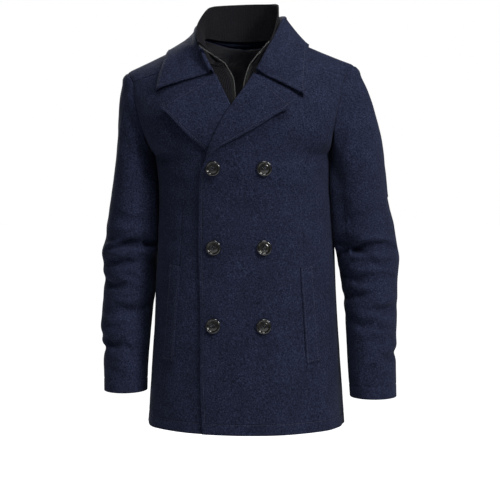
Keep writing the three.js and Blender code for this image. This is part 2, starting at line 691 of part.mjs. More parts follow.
function bibFront(name) {
  const rows = bibs[name].map((row) => ({ ...row, zero: 0 }));
  const zip = curve(rows, 'zipX', 'zero', 'zipZ');
  const out = curve(rows, 'outX', 'zero', 'outZ');
  const beside = (b, away) => zip.getPoint(b).add(point(sides[name] * away, 0, 0));
  const face = (p) => frontAt(p.x, p.z, bibDepth);
  return {
    cloth: (a, b) => face(beside(b, tape.wide + seam).lerp(out.getPoint(b), a)),
    tape: (a, b) => face(beside(b, tape.wide * a)).p,
  };
}

// The bib's stand collar, fallen open in front: a row for each station, right to left
const bibCollar = [
  { baseX: -28.5, baseY: -86, baseZ: -56.5, topX: -80, topY: -92, topZ: -22 },
  { baseX: -47, baseY: -80, baseZ: -51, topX: -88, topY: -66, topZ: 4 },
  { baseX: -69, baseY: -46, baseZ: -27, topX: -89, topY: -34, topZ: 28 },
  { baseX: -80, baseY: -8, baseZ: -4, topX: -77, topY: 2, topZ: 55 },
  { baseX: -75, baseY: 22, baseZ: 0, topX: -70, topY: 28, topZ: 64 },
  { baseX: -56, baseY: 46, baseZ: -2, topX: -52, topY: 54, topZ: 69 },
  { baseX: -8, baseY: 63, baseZ: -4, topX: -8, topY: 68, topZ: 72 },
  { baseX: 39, baseY: 46, baseZ: -2, topX: 38, topY: 54, topZ: 71 },
  { baseX: 58, baseY: 22, baseZ: 2, topX: 56, topY: 26, topZ: 68 },
  { baseX: 64, baseY: -8, baseZ: -2, topX: 62, topY: 0, topZ: 61 },
  { baseX: 52, baseY: -46, baseZ: -27, topX: 63, topY: -34, topZ: 30 },
  { baseX: 33, baseY: -78, baseZ: -52, topX: 59, topY: -62, topZ: 2 },
  { baseX: 14.5, baseY: -86, baseZ: -58.5, topX: 52, topY: -80, topZ: -14 },
];
const bibBase = curve(bibCollar, 'baseX', 'baseY', 'baseZ');
const bibTop = curve(bibCollar, 'topX', 'topY', 'topZ');
const bibClear = 0.9;
const stand = withNormals(collarPoint, true);
const standFace = [];
for (let i = 0; i <= 18; i += 1) {
  for (let j = 0; j <= 90; j += 1) standFace.push(stand(mix(0, 0.55, i / 18), j / 90));
}
const bibCollarPoint = (a, b) =>
  keepOff(bibBase.getPoint(b).lerp(bibTop.getPoint(b), a), bibClear, standFace);
const knitBetween = (a, b) => bibCollarPoint(a, mix(tape.seamShare, 1 - tape.seamShare, b));
const knitGrid = { across: 4, along: 30 };
const bibGrid = { across: 5, along: 9 };
const knitFace = gridNormals(knitBetween, knitGrid.across, knitGrid.along);
add('bib_collar', wall(knitFace, knitGrid.across, knitGrid.along, knit), charcoal);

// The zip's tape on each side: up the edge of the knit front, then up the collar's front edge
const tapeRows = 20;
for (const [name, side] of Object.entries(sides)) {
  const front = bibFront(name);
  add(`bib_${name}`, wall(front.cloth, bibGrid.across, bibGrid.along, knit), charcoal);
  const tapePoint = (a, b) => {
    if (b <= tape.front) return front.tape(a, b / tape.front);
    const along = tape.collarShare * a;
    return bibCollarPoint((b - tape.front) / (1 - tape.front), side > 0 ? 1 - along : along);
  };
  const face = gridNormals(tapePoint, 1, tapeRows, side < 0);
  add(`zip_tape_${name}`, wall(face, 1, tapeRows, tape.thick), grey);
}

// Buttons, each with a raised rim, a dished face and four holes
const buttonSides = 16;
const buttonHoles = { count: 4, radius: 1.2, out: 3.1, sides: 6, drill: 20 };
const buttonProfile = [
  [0, 0],
  [9.5, 0],
  [12.6, 1.1],
  [buttonRadius, 2.7],
  [13.7, 4],
  [12.6, buttonHeight],
  [11.2, 4.3],
  [9.6, 3.2],
  [6, 2.9],
  [0, 2.9],
];
function solidOf(geometry) {
  const plain = geometry.clone();
  plain.deleteAttribute('normal');
  plain.deleteAttribute('uv');
  const merged = mergeVertices(plain, 1e-4);
  const vertProperties = new Float32Array(merged.attributes.position.array);
  const triVerts = new Uint32Array(merged.index.array);
  return new wasm.Manifold(new wasm.Mesh({ numProp: 3, vertProperties, triVerts }));
}
function button() {
  const profile = buttonProfile.map(([r, z]) => new THREE.Vector2(r, z));
  let solid = solidOf(new THREE.LatheGeometry(profile, buttonSides).rotateX(Math.PI / 2));
  const { count, radius, out, sides: holeSides, drill } = buttonHoles;
  for (let k = 0; k < count; k += 1) {
    const turn = ((k + 0.5) * 2 * Math.PI) / count;
    const hole = new THREE.CylinderGeometry(radius, radius, drill, holeSides);
    hole.rotateX(Math.PI / 2);
    hole.translate(out * Math.cos(turn), out * Math.sin(turn), 0);
    solid = solid.subtract(solidOf(hole));
  }
  const { vertProperties, triVerts } = solid.getMesh();
  const geometry = new THREE.BufferGeometry();
  geometry.setAttribute('position', new THREE.Float32BufferAttribute(vertProperties, 3));
  geometry.setIndex([...triVerts]);
  return outward(geometry);
}
const buttonOut = 47;
const buttonHeights = { top: -254.5, middle: -403, bottom: -549 };
for (const [row, z] of Object.entries(buttonHeights)) {
  for (const [name, side] of Object.entries(sides)) {
    const x = side * buttonOut;
    const place = frontAt(x, z, frontLift(1, x, z) + seam);
    const mesh = add(`button_${row}_${name}`, button(), horn);
    mesh.position.copy(place.p);
    mesh.quaternion.setFromUnitVectors(point(0, 0, 1), place.n);
  }
}

export default coat;
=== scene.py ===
import math
import bpy
import numpy as np
from mathutils import Matrix, Vector
from mathutils.kdtree import KDTree


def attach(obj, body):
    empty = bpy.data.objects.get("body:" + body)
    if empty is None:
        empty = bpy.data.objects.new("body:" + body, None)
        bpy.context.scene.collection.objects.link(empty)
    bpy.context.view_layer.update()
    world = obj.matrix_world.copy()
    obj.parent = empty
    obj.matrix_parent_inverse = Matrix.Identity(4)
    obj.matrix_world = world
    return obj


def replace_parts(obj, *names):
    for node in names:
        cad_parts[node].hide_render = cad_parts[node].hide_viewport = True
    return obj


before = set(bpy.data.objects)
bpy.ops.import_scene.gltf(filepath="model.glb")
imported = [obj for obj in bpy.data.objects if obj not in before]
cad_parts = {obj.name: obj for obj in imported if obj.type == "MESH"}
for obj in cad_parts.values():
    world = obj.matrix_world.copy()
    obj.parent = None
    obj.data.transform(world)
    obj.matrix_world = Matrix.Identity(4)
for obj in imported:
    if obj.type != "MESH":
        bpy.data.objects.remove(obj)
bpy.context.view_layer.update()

# BACK
# Two halves of thick milled wool, cut on one pattern and joined by the centre back seam.
# They run over the shoulders to seams that lie a little to the front. Each is a thin shell
# of wool outside and satin lining inside, pressed open at its seams and turned up at the hem.

# The coat's form: half sections from the front hem over the shoulder to the back hem, in mm.
# Columns: middle y, z; side x, y, z; pull at the middle y-run, z-dip; pull at the side x, y, z
SECTIONS = np.array([
    (-143, -752, 193, -4, -746, 350, 0, 0, 285, 0),
    (-138, -626, 184, -4, -626, 335, 0, 0, 275, 0),
    (-130, -500, 176, -4, -500, 320, 0, 0, 265, 0),
    (-125, -360, 171, -4, -360, 310, 0, 0, 255, 0),
    (-128, -285, 169, -2, -285, 310, 0, 0, 260, 0),
    (-128, -222, 170, 0, -228, 300, 0, 0, 250, 0),
    (-125, -180, 179, -40, -205, 275, 0, 35, 225, 0),
    (-117, -135, 190, -54, -165, 262, 0, 85, 185, -10),
    (-101, -85, 201, -47, -120, 250, -8, 125, 145, -22),
    (-78, -35, 208, -30, -82, 225, -30, 150, 90, -45),
    (-42, 10, 218, -13, -67, 222, -68, 195, 40, -78),
    (0, 31, 224, 5, -61, 220, -85, 215, 5, -95),
    (46, 12, 219, 24, -69, 228, -62, 190, -45, -75),
    (84, -45, 207, 48, -107, 240, -28, 110, -130, -35),
    (107, -110, 193, 58, -162, 258, -10, 70, -170, -12),
    (117, -172, 180, 40, -206, 265, 0, 32, -205, 0),
    (119, -222, 170, 0, -228, 288, 0, 0, -238, 0),
    (113, -285, 169, -2, -285, 292, 0, 0, -235, 0),
    (100, -360, 171, -4, -360, 290, 0, 0, -218, 0),
    (108, -500, 176, -4, -500, 300, 0, 0, -232, 0),
    (122, -626, 184, -4, -626, 320, 0, 0, -252, 0),
    (131, -748, 193, -4, -746, 335, 0, 0, -270, 0),
], float)
LAST, ARMPIT, BACK_ARMPIT, CREST, SHOULDER_SEAM = 21, 5, 16, 11, 9


def spline(points, closed=False):
    """A smooth curve through the points: returns a function of 0..1."""
    p = np.asarray(points, float)
    if closed:
        ext = np.vstack([p[-1:], p, p[:2]])
    else:
        ext = np.vstack([2 * p[0] - p[1], p, 2 * p[-1] - p[-2]])
    count = len(p) if closed else len(p) - 1
    parts = []
    for k in range(count):
        a, b, c, d = ext[k:k + 4]
        gaps = [np.sum((q - r) ** 2) ** 0.25 for q, r in ((a, b), (b, c), (c, d))]
        gaps[1] = gaps[1] if gaps[1] > 1e-4 else 1.0
        gaps[0] = gaps[0] if gaps[0] > 1e-4 else gaps[1]
        gaps[2] = gaps[2] if gaps[2] > 1e-4 else gaps[1]
        g0, g1, g2 = gaps
        out = ((b - a) / g0 - (c - a) / (g0 + g1) + (c - b) / g1) * g1
        into = ((c - b) / g1 - (d - b) / (g1 + g2) + (d - c) / g2) * g1
        parts.append([b, out, -3 * b + 3 * c - 2 * out - into, 2 * b - 2 * c + out + into])
    parts = np.array(parts)

    def at(t):
        place = np.asarray(t, float) * count
        if closed:
            place = place % count
        k = np.clip(np.floor(place), 0, count - 1).astype(int)
        w = (place - k)[..., None]
        c = parts[k]
        return c[..., 0, :] + w * (c[..., 1, :] + w * (c[..., 2, :] + w * c[..., 3, :]))
    return at


def columns(rows, *picks):
    rows = np.asarray(rows, float)
    return np.stack([rows[:, i] if i is not None else np.zeros(len(rows)) for i in picks], 1)


def smooth(low, high, x):
    t = np.clip((x - low) / (high - low), 0, 1)
    return t * t * (3 - 2 * t)


def mix(a, b, t):
    return a + (b - a) * t


def unit(v):
    return v / np.maximum(np.linalg.norm(v, axis=-1, keepdims=True), 1e-9)


middle = spline(columns(SECTIONS, None, 0, 1))
middle_pull = spline(columns(SECTIONS, 5, None, 6))
side_pull = spline(SECTIONS[:, 7:10])
side_seam = spline(SECTIONS[:ARMPIT + 1, 2:5])
armhole = spline(SECTIONS[ARMPIT:BACK_ARMPIT, 2:5], closed=True)


def side_at(v):
    low = side_seam(np.clip(v, 0, ARMPIT) / ARMPIT)
    high = side_seam(np.clip(LAST - v, 0, ARMPIT) / ARMPIT)
    round_arm = armhole(np.clip((v - ARMPIT) / (BACK_ARMPIT - ARMPIT), 0, 1))
    return np.where((v <= ARMPIT)[..., None], low,
                    np.where((v >= BACK_ARMPIT)[..., None], high, round_arm))


def pose(p):
    """The shoulders sway 12 mm to the wearer's right and tilt 6 mm; the skirt hangs straight."""
    high = smooth(-350, -120, p[..., 2])
    tilted = smooth(-320, -60, p[..., 2]) * (p[..., 0] / 224)
    return np.stack([p[..., 0] - 12 * high, p[..., 1], p[..., 2] + 6 * tilted], -1)


def body_point(s, v):
    """s: 0 at the middle, 1 at the side, negative on the wearer's right. v: section number."""
    s, v = np.broadcast_arrays(np.asarray(s, float), np.asarray(v, float))
    row = np.clip(v / LAST, 0, 1)
    t = np.abs(s)[..., None]
    p = middle(row) * (2 * t ** 3 - 3 * t ** 2 + 1)
    p = p + middle_pull(row) * (t ** 3 - 2 * t ** 2 + t)
    p = p + side_at(v) * (3 * t ** 2 - 2 * t ** 3) + side_pull(row) * (t ** 3 - t ** 2)
    p[..., 0] = np.where(s < 0, -p[..., 0], p[..., 0])
    return pose(p)


# The skirt's long soft folds: side, place (0 centre front, 1 side seam, 2 centre back),
# half width, depth in mm, height at which it fades out
DRAPES = [
    (1, 0.62, 0.1, 3.5, -430), (1, 0.93, 0.08, -3, -480), (1, 1.28, 0.11, 4, -420),
    (1, 1.62, 0.09, -3.5, -500), (-1, 0.66, 0.09, 3, -470), (-1, 0.9, 0.1, -3.5, -440),
    (-1, 1.22, 0.1, 3.5, -490), (-1, 1.55, 0.12, -4, -430),
]
STEP = 0.004


def skin(s, v, lift=0.0):
    """The coat's outer face raised by lift, with its outward normal."""
    s, v = np.broadcast_arrays(np.asarray(s, float), np.asarray(v, float))
    p = body_point(s, v)
    across = body_point(s + STEP, v) - body_point(s - STEP, v)
    up = body_point(s, np.minimum(v + STEP, LAST)) - body_point(s, np.maximum(v - STEP, 0))
    n = unit(np.cross(across, up))
    u = np.where(v < CREST, np.abs(s), 2 - np.abs(s))
    raised = np.zeros_like(u) + lift
    for side, place, wide, out, top in DRAPES:
        fold = out * np.exp(-((u - place) / wide) ** 2) * (1 - smooth(-746, top, p[..., 2]))
        raised = raised + np.where(np.sign(np.where(s == 0, 1, s)) == side, fold, 0)
    return p + n * raised[..., None], n


def past_neck(p):
    """Negative inside the neck seam, which is seen from above."""
    deep = np.where(p[..., 1] < -2, 110, 70)
    return ((p[..., 0] + 8) / 79) ** 2 + ((p[..., 1] + 2) / deep) ** 2 - 1


def crossing(past, side, v, low, high):
    """The share of each section at which past turns positive."""
    low, high = np.full(v.shape, float(low)), np.full(v.shape, float(high))
    for _ in range(30):
        t = (low + high) / 2
        beyond = past(body_point(side * t, v)) > 0
        high, low = np.where(beyond, t, high), np.where(beyond, low, t)
    return high


def marks(length, step, start=(), end=()):
    """Places 0..1 along a length in mm: even steps, with closer ones near either end."""
    first = [m for m in start if m < 0.48 * length]
    final = [length - m for m in end if m < 0.48 * length]
    low, high = max(first or [0.0]), min(final or [length])
    between = np.linspace(low, high, max(2, int(round((high - low) / step)) + 1))
    return np.unique(np.round([*first, *between, *final], 4)) / length


ROUND = (0, 0.12, 0.4, 0.85, 1.5, 2.4, 3.6)  # columns that make an edge round
STITCHED = (*ROUND, 4.8, 5.8, 6.4, 7, 7.6, 8.4, 10)  # the same with a row of topstitching at 7 mm


def rows_by_length(low, high, s, step, start=(), end=()):
    """Section numbers from low to high whose points lie at the marks along the line s."""
    fine = np.linspace(low, high, 900)
    line = body_point(np.full(fine.shape, s), fine)
    run = np.concatenate([[0], np.cumsum(np.linalg.norm(np.diff(line, axis=0), axis=1))])
    return np.interp(marks(run[-1], step, start, end) * run[-1], run, fine)


def spans(p, axis):
    """Length from the first and from the last line of a grid of points, along one axis."""
    d = np.linalg.norm(np.diff(p, axis=axis), axis=-1)
    pad = [(0, 0), (0, 0)]
    pad[axis] = (1, 0)
    run = np.cumsum(np.pad(d, pad), axis=axis)
    return run, run.max(axis=axis, keepdims=True) - run


def folded(x, y, folds, hanging=False):
    """Height of creases drawn as lines on a cloth, x and y being mm along it.
    Each fold: its points, half width, depth, and how much the cloth swells beside it.
    Hanging ones are steep above, where the cloth sags over them, and slope gently below."""
    height = np.zeros_like(x)
    for line, wide, deep, swell in folds:
        line = np.asarray(line, float)
        best = np.full(x.shape, 1e9)
        signed = np.zeros_like(x)
        along = np.zeros_like(x)
        above = np.zeros_like(x)
        count = len(line) - 1
        for k in range(count):
            a, b = line[k], line[k + 1]
            run = b - a
            t = ((x - a[0]) * run[0] + (y - a[1]) * run[1]) / max(run @ run, 1e-9)
            tc = np.clip(t, 0, 1)
            dx, dy = x - a[0] - tc * run[0], y - a[1] - tc * run[1]
            far = np.hypot(dx, dy)
            nearer = far < best
            cross = run[0] * dy - run[1] * dx
            best = np.where(nearer, far, best)
            signed = np.where(nearer, np.sign(cross) * far, signed)
            above = np.where(nearer, dy, above)
            along = np.where(nearer, (k + tc) / count, along)
        fade = np.sin(np.pi * np.clip(along, 0, 1)) ** 0.6
        if hanging:
            signed = np.where(above > 0, best / 0.6, -best / 1.5)
        q = signed / (wide * (0.7 + 0.5 * fade))
        height += deep * fade * (swell * np.exp(-(q - 1.8) ** 2 / 1.4) - np.exp(-q * q))
    return height


def ripple(p, size, seed, count=7):
    """Slow unevenness of a cloth, between about -1 and 1, from a few crossed waves."""
    pick = np.random.RandomState(seed)
    out = np.zeros(p.shape[:-1])
    for _ in range(count):
        way = unit(pick.normal(size=3)) * 2 * math.pi / (size * pick.uniform(0.7, 1.6))
        out += np.sin(p @ way + pick.uniform(0, 6.28))
    return out / math.sqrt(count) * 0.7


def normals_of(p, like=None):
    """Normals of a grid of points; "like" gives the side that they point to."""
    n = unit(np.cross(np.gradient(p, axis=1), np.gradient(p, axis=0)))
    if like is not None:
        n = n * np.where(np.sum(n * like, -1, keepdims=True) < 0, -1, 1)
    return n


def rounding(d, radius, depth):
    """How far a cloth's face drops at distance d from an edge that is turned or sewn."""
    q = np.clip(1 - d / radius, 0, 1)
    return depth * (1 - np.sqrt(np.maximum(1 - q * q, 0)))


def shell(name, p, n, thickness, materials, free="", sewn="", sink=None, inner_from=0.0, back=None):
    """A closed sheet of cloth from its outer face, a grid of points in mm with normals.
    free, sewn: its edges that are turned round or sewn into a seam, of l, r, b, t (first
    and last column, first and last row). sink: half width and depth of a seam that isn't
    3 by 1.3. Inner faces more than inner_from mm from a free edge take the second material."""
    left, right = spans(p, 1)
    low, high = spans(p, 0)
    near = {"l": left, "r": right, "b": low, "t": high}
    outer = p.copy()
    under = (p if back is None else back) - n * thickness
    for key in free:
        drop = rounding(near[key], thickness / 2, thickness / 2)[..., None]
        outer, under = outer - n * drop, under + n * drop
    for key in sewn:
        wide, deep = (sink or {}).get(key, (3.0, 1.3))
        outer = outer - n * rounding(near[key], wide, deep)[..., None]
    height, width = p.shape[:2]
    co = np.concatenate([outer.reshape(-1, 3), under.reshape(-1, 3)]) * 0.001
    index = np.arange(height * width).reshape(height, width)
    shift = height * width

    def quads(a, b, c, d):
        return np.stack([a.ravel(), b.ravel(), c.ravel(), d.ravel()], 1)
    a, b, c, d = index[:-1, :-1], index[:-1, 1:], index[1:, 1:], index[1:, :-1]
    faces = [quads(a, b, c, d), quads(a + shift, d + shift, c + shift, b + shift)]
    for line, turn in ((index[0], 1), (index[-1], -1), (index[:, 0], -1), (index[:, -1], 1)):
        e, f = (line[:-1], line[1:]) if turn > 0 else (line[1:], line[:-1])
        faces.append(quads(e, e + shift, f + shift, f))
    sizes = [len(f) for f in faces]
    faces = np.concatenate(faces)
    facing = np.sum(np.cross(p[0, 1] - p[0, 0], p[1, 0] - p[0, 0]) * n[0, 0])
    if facing < 0:
        faces = faces[:, ::-1]
    mesh = bpy.data.meshes.new(name)
    mesh.vertices.add(len(co))
    mesh.vertices.foreach_set("co", co.ravel())
    mesh.loops.add(faces.size)
    mesh.loops.foreach_set("vertex_index", faces.ravel())
    mesh.polygons.add(len(faces))
    mesh.polygons.foreach_set("loop_start", np.arange(0, faces.size, 4))
    for material in materials:
        mesh.materials.append(material)
    if len(materials) > 1:
        edge = np.full((height, width), 1e9)
        for key in free:
            edge = np.minimum(edge, near[key])
        deep = (edge > inner_from)[:-1, :-1].ravel()
        slots = np.zeros(len(faces), int)
        slots[sizes[0]:sizes[0] + sizes[1]] = deep
        mesh.polygons.foreach_set("material_index", slots)
    uv = mesh.uv_layers.new(name="cloth")
    place = np.stack([left - left.mean(), low], -1).reshape(-1, 2) * 0.001
    place = np.concatenate([place, place])
    uv.data.foreach_set("uv", place[faces.ravel()].ravel())
    mesh.polygons.foreach_set("use_smooth", np.ones(len(faces), bool))
    mesh.update(calc_edges=True)
    mesh.validate()
    piece = bpy.data.objects.new(name, mesh)
    bpy.context.scene.collection.objects.link(piece)
    return piece, outer


def line_at(grid, run, distance, axis):
    """Points of a grid at a distance from one of its edges: one on each line of the grid."""
    if axis == 0:
        grid, run = grid.transpose(1, 0, 2), run.T
    found = []
    for points, lengths in zip(grid, run):
        order = np.argsort(lengths)
        if lengths.max() > distance:
            found.append([np.interp(distance, lengths[order], points[order][:, i]) for i in range(3)])
    return np.array(found)


def groove(d, distance, wide=0.9, deep=0.45):
    """The dent that a row of stitches pulls into thick cloth."""
    return -deep * np.exp(-((d - distance) / wide) ** 2)


# Effects shared by the cloths
def new_group(name, inputs, outputs):
    group = bpy.data.node_groups.new(name, "ShaderNodeTree")
    for kind, title, value in inputs:
        item = group.interface.new_socket(title, in_out="INPUT", socket_type="NodeSocket" + kind)
        item.default_value = value
    for kind, title in outputs:
        group.interface.new_socket(title, in_out="OUTPUT", socket_type="NodeSocket" + kind)
    return group, group.nodes.new("NodeGroupInput"), group.nodes.new("NodeGroupOutput")


def noise(nodes, links, vector, scale, detail=2.0, rough=0.5):
    node = nodes.new("ShaderNodeTexNoise")
    node.inputs["Detail"].default_value = detail
    node.inputs["Roughness"].default_value = rough
    links.new(vector, node.inputs["Vector"])
    if isinstance(scale, (int, float)):
        node.inputs["Scale"].default_value = scale
    else:
        links.new(scale, node.inputs["Scale"])
    return node.outputs["Fac"]


def math_node(nodes, links, operation, a, b=None, clamp=False):
    node = nodes.new("ShaderNodeMath")
    node.operation = operation
    node.use_clamp = clamp
    for socket, value in zip(node.inputs, (a, b)):
        if value is None:
            continue
        if isinstance(value, (int, float)):
            socket.default_value = value
        else:
            links.new(value, socket)
    return node.outputs[0]


def ramp(nodes, links, value, low, high, start=0.0, end=1.0):
    node = nodes.new("ShaderNodeMapRange")
    node.interpolation_type = "SMOOTHSTEP"
    links.new(value, node.inputs["Value"])
    for title, number in (("From Min", low), ("From Max", high), ("To Min", start), ("To Max", end)):
        node.inputs[title].default_value = number
    return node.outputs["Result"]


def blend_colour(nodes, links, factor, a, b):
    node = nodes.new("ShaderNodeMix")
    node.data_type = "RGBA"
    links.new(factor, node.inputs["Factor"])
    for socket, value in ((node.inputs["A"], a), (node.inputs["B"], b)):
        if isinstance(value, tuple):
            socket.default_value = value
        else:
            links.new(value, socket)
    return node.outputs["Result"]


# Milled wool: dyed fibres of several shades felted together, with a short brushed nap.
# Puts out the mottled colour and the height of the felt.
melton, ins, outs = new_group(
    "melton wool",
    [("Vector", "Place", (0, 0, 0)), ("Color", "Ground", (0, 0, 0, 1)),
     ("Color", "Dark fibre", (0, 0, 0, 1)), ("Color", "Light fibre", (0, 0, 0, 1)),
     ("Float", "Clump size", 390.0), ("Float", "Fibre size", 1500.0)],
    [("Color", "Colour"), ("Float", "Height"), ("Float", "Roughness")])
N, L = melton.nodes, melton.links
place = ins.outputs["Place"]
clump = noise(N, L, place, ins.outputs["Clump size"], 3.0, 0.62)
fibre = noise(N, L, place, ins.outputs["Fibre size"], 2.0, 0.7)
cloudy = noise(N, L, place, 28.0, 2.0, 0.5)
stretch = N.new("ShaderNodeMapping")
stretch.inputs["Scale"].default_value = (1.0, 1.0, 0.32)
L.new(place, stretch.inputs["Vector"])
hairs = noise(N, L, stretch.outputs["Vector"], 2100.0, 1.0, 0.5)
dark = math_node(N, L, "MULTIPLY", ramp(N, L, clump, 0.48, 0.38), 0.84)
shade = blend_colour(N, L, dark, ins.outputs["Ground"], ins.outputs["Dark fibre"])
light = math_node(N, L, "MULTIPLY", ramp(N, L, clump, 0.52, 0.66),
                  math_node(N, L, "ADD", ramp(N, L, fibre, 0.42, 0.62, 0.25, 0.75), 0.0))
shade = blend_colour(N, L, light, shade, ins.outputs["Light fibre"])
speck = math_node(N, L, "MULTIPLY", ramp(N, L, hairs, 0.60, 0.72), 0.45)
shade = blend_colour(N, L, speck, shade, ins.outputs["Light fibre"])
worn = N.new("ShaderNodeHueSaturation")
L.new(ramp(N, L, cloudy, 0.3, 0.7, 0.9, 1.1), worn.inputs["Value"])
L.new(shade, worn.inputs["Color"])
L.new(worn.outputs["Color"], outs.inputs["Colour"])
felt = math_node(N, L, "ADD", math_node(N, L, "MULTIPLY", clump, 0.9),
                 math_node(N, L, "MULTIPLY", fibre, 0.5))
felt = math_node(N, L, "ADD", felt, math_node(N, L, "MULTIPLY", hairs, 0.25))
L.new(felt, outs.inputs["Height"])
L.new(ramp(N, L, clump, 0.3, 0.7, 0.98, 0.86), outs.inputs["Roughness"])


def new_material(name):
    material = bpy.data.materials.new(name)
    material.use_nodes = True
    nodes = material.node_tree.nodes
    return material, nodes, material.node_tree.links, nodes["Principled BSDF"]


def bump(nodes, links, shader, height, strength, distance):
    node = nodes.new("ShaderNodeBump")
    node.inputs["Strength"].default_value = strength
    node.inputs["Distance"].default_value = distance
    links.new(height, node.inputs["Height"])
    links.new(node.outputs["Normal"], shader.inputs["Normal"])


def wool_material(name, ground, dark_fibre, light_fibre):
    material, nodes, links, shader = new_material(name)
    place = nodes.new("ShaderNodeTexCoord").outputs["Object"]
    wool = nodes.new("ShaderNodeGroup")
    wool.node_tree = melton
    links.new(place, wool.inputs["Place"])
    wool.inputs["Ground"].default_value = ground
    wool.inputs["Dark fibre"].default_value = dark_fibre
    wool.inputs["Light fibre"].default_value = light_fibre
    links.new(wool.outputs["Colour"], shader.inputs["Base Color"])
    links.new(wool.outputs["Roughness"], shader.inputs["Roughness"])
    shader.inputs["Specular IOR Level"].default_value = 0.1
    shader.inputs["Sheen Weight"].default_value = 0.05
    shader.inputs["Sheen Roughness"].default_value = 0.42
    shader.inputs["Sheen Tint"].default_value = (0.34, 0.38, 0.55, 1)
    bump(nodes, links, shader, wool.outputs["Height"], 0.55, 0.0006)
    return material


navy_wool = wool_material("navy melton wool", (0.0083, 0.0108, 0.0272, 1),
                          (0.0026, 0.0034, 0.0082, 1), (0.0325, 0.041, 0.083, 1))


# Satin lining: a fine twill that shines a little along its diagonal
lining, nodes, links, shader = new_material("satin lining")
uv = nodes.new("ShaderNodeUVMap")
uv.uv_map = "cloth"
twill = nodes.new("ShaderNodeTexWave")
twill.bands_direction = "DIAGONAL"
twill.inputs["Scale"].default_value = 260.0
twill.inputs["Distortion"].default_value = 0.6
links.new(uv.outputs["UV"], twill.inputs["Vector"])
links.new(blend_colour(nodes, links, twill.outputs["Fac"], (0.0085, 0.0092, 0.0150, 1),
                       (0.0125, 0.0135, 0.0220, 1)), shader.inputs["Base Color"])
crease = noise(nodes, links, uv.outputs["UV"], 22.0, 3.0, 0.55)
links.new(ramp(nodes, links, crease, 0.3, 0.7, 0.34, 0.5), shader.inputs["Roughness"])
shader.inputs["Sheen Weight"].default_value = 0.08
folds_and_twill = math_node(nodes, links, "ADD", math_node(nodes, links, "MULTIPLY", crease, 6.0),
                            math_node(nodes, links, "MULTIPLY", twill.outputs["Fac"], 0.08))
bump(nodes, links, shader, folds_and_twill, 0.5, 0.0012)

WOOL = 3.0  # thickness of a panel of the coat, with its lining
SIDES = {"left": 1, "right": -1}
SEAM_S, SEAM_MIDDLE, SEAM_ROW = 0.0, 0.0, 0.0
stitch_lines = []  # rows of topstitching, as points on the cloth in mm

# Creases of the back: points (x, z), half width, depth, swelling beside it
BACK_FOLDS = [
    ([(-150, -205), (-118, -232), (-78, -246), (-30, -250)], 11, 2.6, 0.5),
    ([(158, -198), (120, -240), (84, -262), (44, -266)], 12, 2.9, 0.5),
    ([(-128, -300), (-84, -322), (-26, -330), (40, -322), (92, -334)], 10, 1.9, 0.6),
    ([(-96, -352), (-40, -366), (22, -360), (70, -371)], 8, 1.4, 0.5),
    ([(110, -118), (92, -170), (86, -214)], 13, 1.8, 0.5),
    ([(-122, -104), (-104, -158), (-101, -196)], 12, 1.6, 0.5),
    ([(-62, -32), (-8, -44), (44, -31)], 10, 1.5, 0.7),
    ([(64, -420), (78, -520), (82, -640)], 17, 2.0, 0.5),
    ([(-70, -452), (-58, -560), (-66, -690)], 18, 2.3, 0.5),
]


# What shows of each half, cut flat: greatest width and length in m, area in square m
BACK_CUT = {"left": (0.266, 0.954, 0.187), "right": (0.265, 0.947, 0.188)}


def back_grid(side):
    v = rows_by_length(SHOULDER_SEAM + SEAM_ROW, LAST, side * 0.5, 4.2,
                       ROUND, (*ROUND, 17, 19, 20, 21, 23))
    middle_open = past_neck(body_point(np.zeros(v.shape), v)) < 0
    inner = np.where(middle_open, crossing(past_neck, side, v, 0, 1), SEAM_MIDDLE)
    inner = np.maximum(inner, SEAM_MIDDLE)
    a = marks(200, 4.2, ROUND, ROUND)
    s = side * mix(inner[:, None], 1 - SEAM_S, a[None, :])
    return skin(s, np.broadcast_to(v[:, None], s.shape))


for name, side in SIDES.items():
    p, n = back_grid(side)
    behind = smooth(-10, 30, p[..., 1])
    relief = folded(p[..., 0], p[..., 2], BACK_FOLDS) * behind
    relief += 0.7 * ripple(p, 120, 3) + 0.28 * ripple(p, 42, 4)
    left, right = spans(p, 1)
    low, high = spans(p, 0)
    quiet = smooth(0, 14, left) * smooth(0, 14, right) * smooth(0, 14, low)
    armhole_dip = 1.8 * np.exp(-(right / 5) ** 2) * smooth(-250, -224, p[..., 2])
    base = p + n * (relief * quiet)[..., None]
    n = normals_of(base, n)
    face = base + n * (groove(high, 20, 1.1, 0.7) - armhole_dip)[..., None]
    piece, outer = shell(f"back_{name}_panel", face, n, WOOL, [navy_wool, lining],
                         free="t", sewn="lrb", inner_from=42, back=base, sink={"l": (5.0, 2.0)})
    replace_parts(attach(piece, "root"), f"back_{name}")
    wide, long, area = BACK_CUT[name]
    stitch_lines.append(line_at(outer, high, 20, 0))

# FRONTS
# Two double-breasted fronts of the same wool. The wearer's left one laps over the right one
# and reaches past the middle; its edge is turned, pressed and topstitched. Each has a dart
# that runs down into its pocket.

# The free edge of each front: height, x on the left front, x on the right front
FRONT_EDGE = np.array([
    (-760, -67, 67),
    (-650, -72, 72),
    (-400, -77, 77),
    (-290, -76.5, 77),
    (-262, -73, 74),
    (-244, -65, 66),
    (-222, -56, 50),
    (-193, -44, 27),
    (-170, -33, 8),
    (-141, -16, -16),
    (-113, 5, -31.5),
    (-92, 18, -41),
    (-72, 29, -51),
    (-58, 38, -60),
    (-44, 51, -69),
    (-20, 60, -78),
], float)
UNDER, OVER, OVER_LAPEL = 1.4, 3.0, 3.6  # how far the fronts stand off the body's form


def front_lift(side, x, z):
    inward = 1 - smooth(75, 125, side * x)
    below = 1 - smooth(-135, -85, z)
    near_break = smooth(-300, -246, z) * below
    if side < 0:
        return -UNDER * inward * below
    return inward * (OVER * below + OVER_LAPEL * near_break)


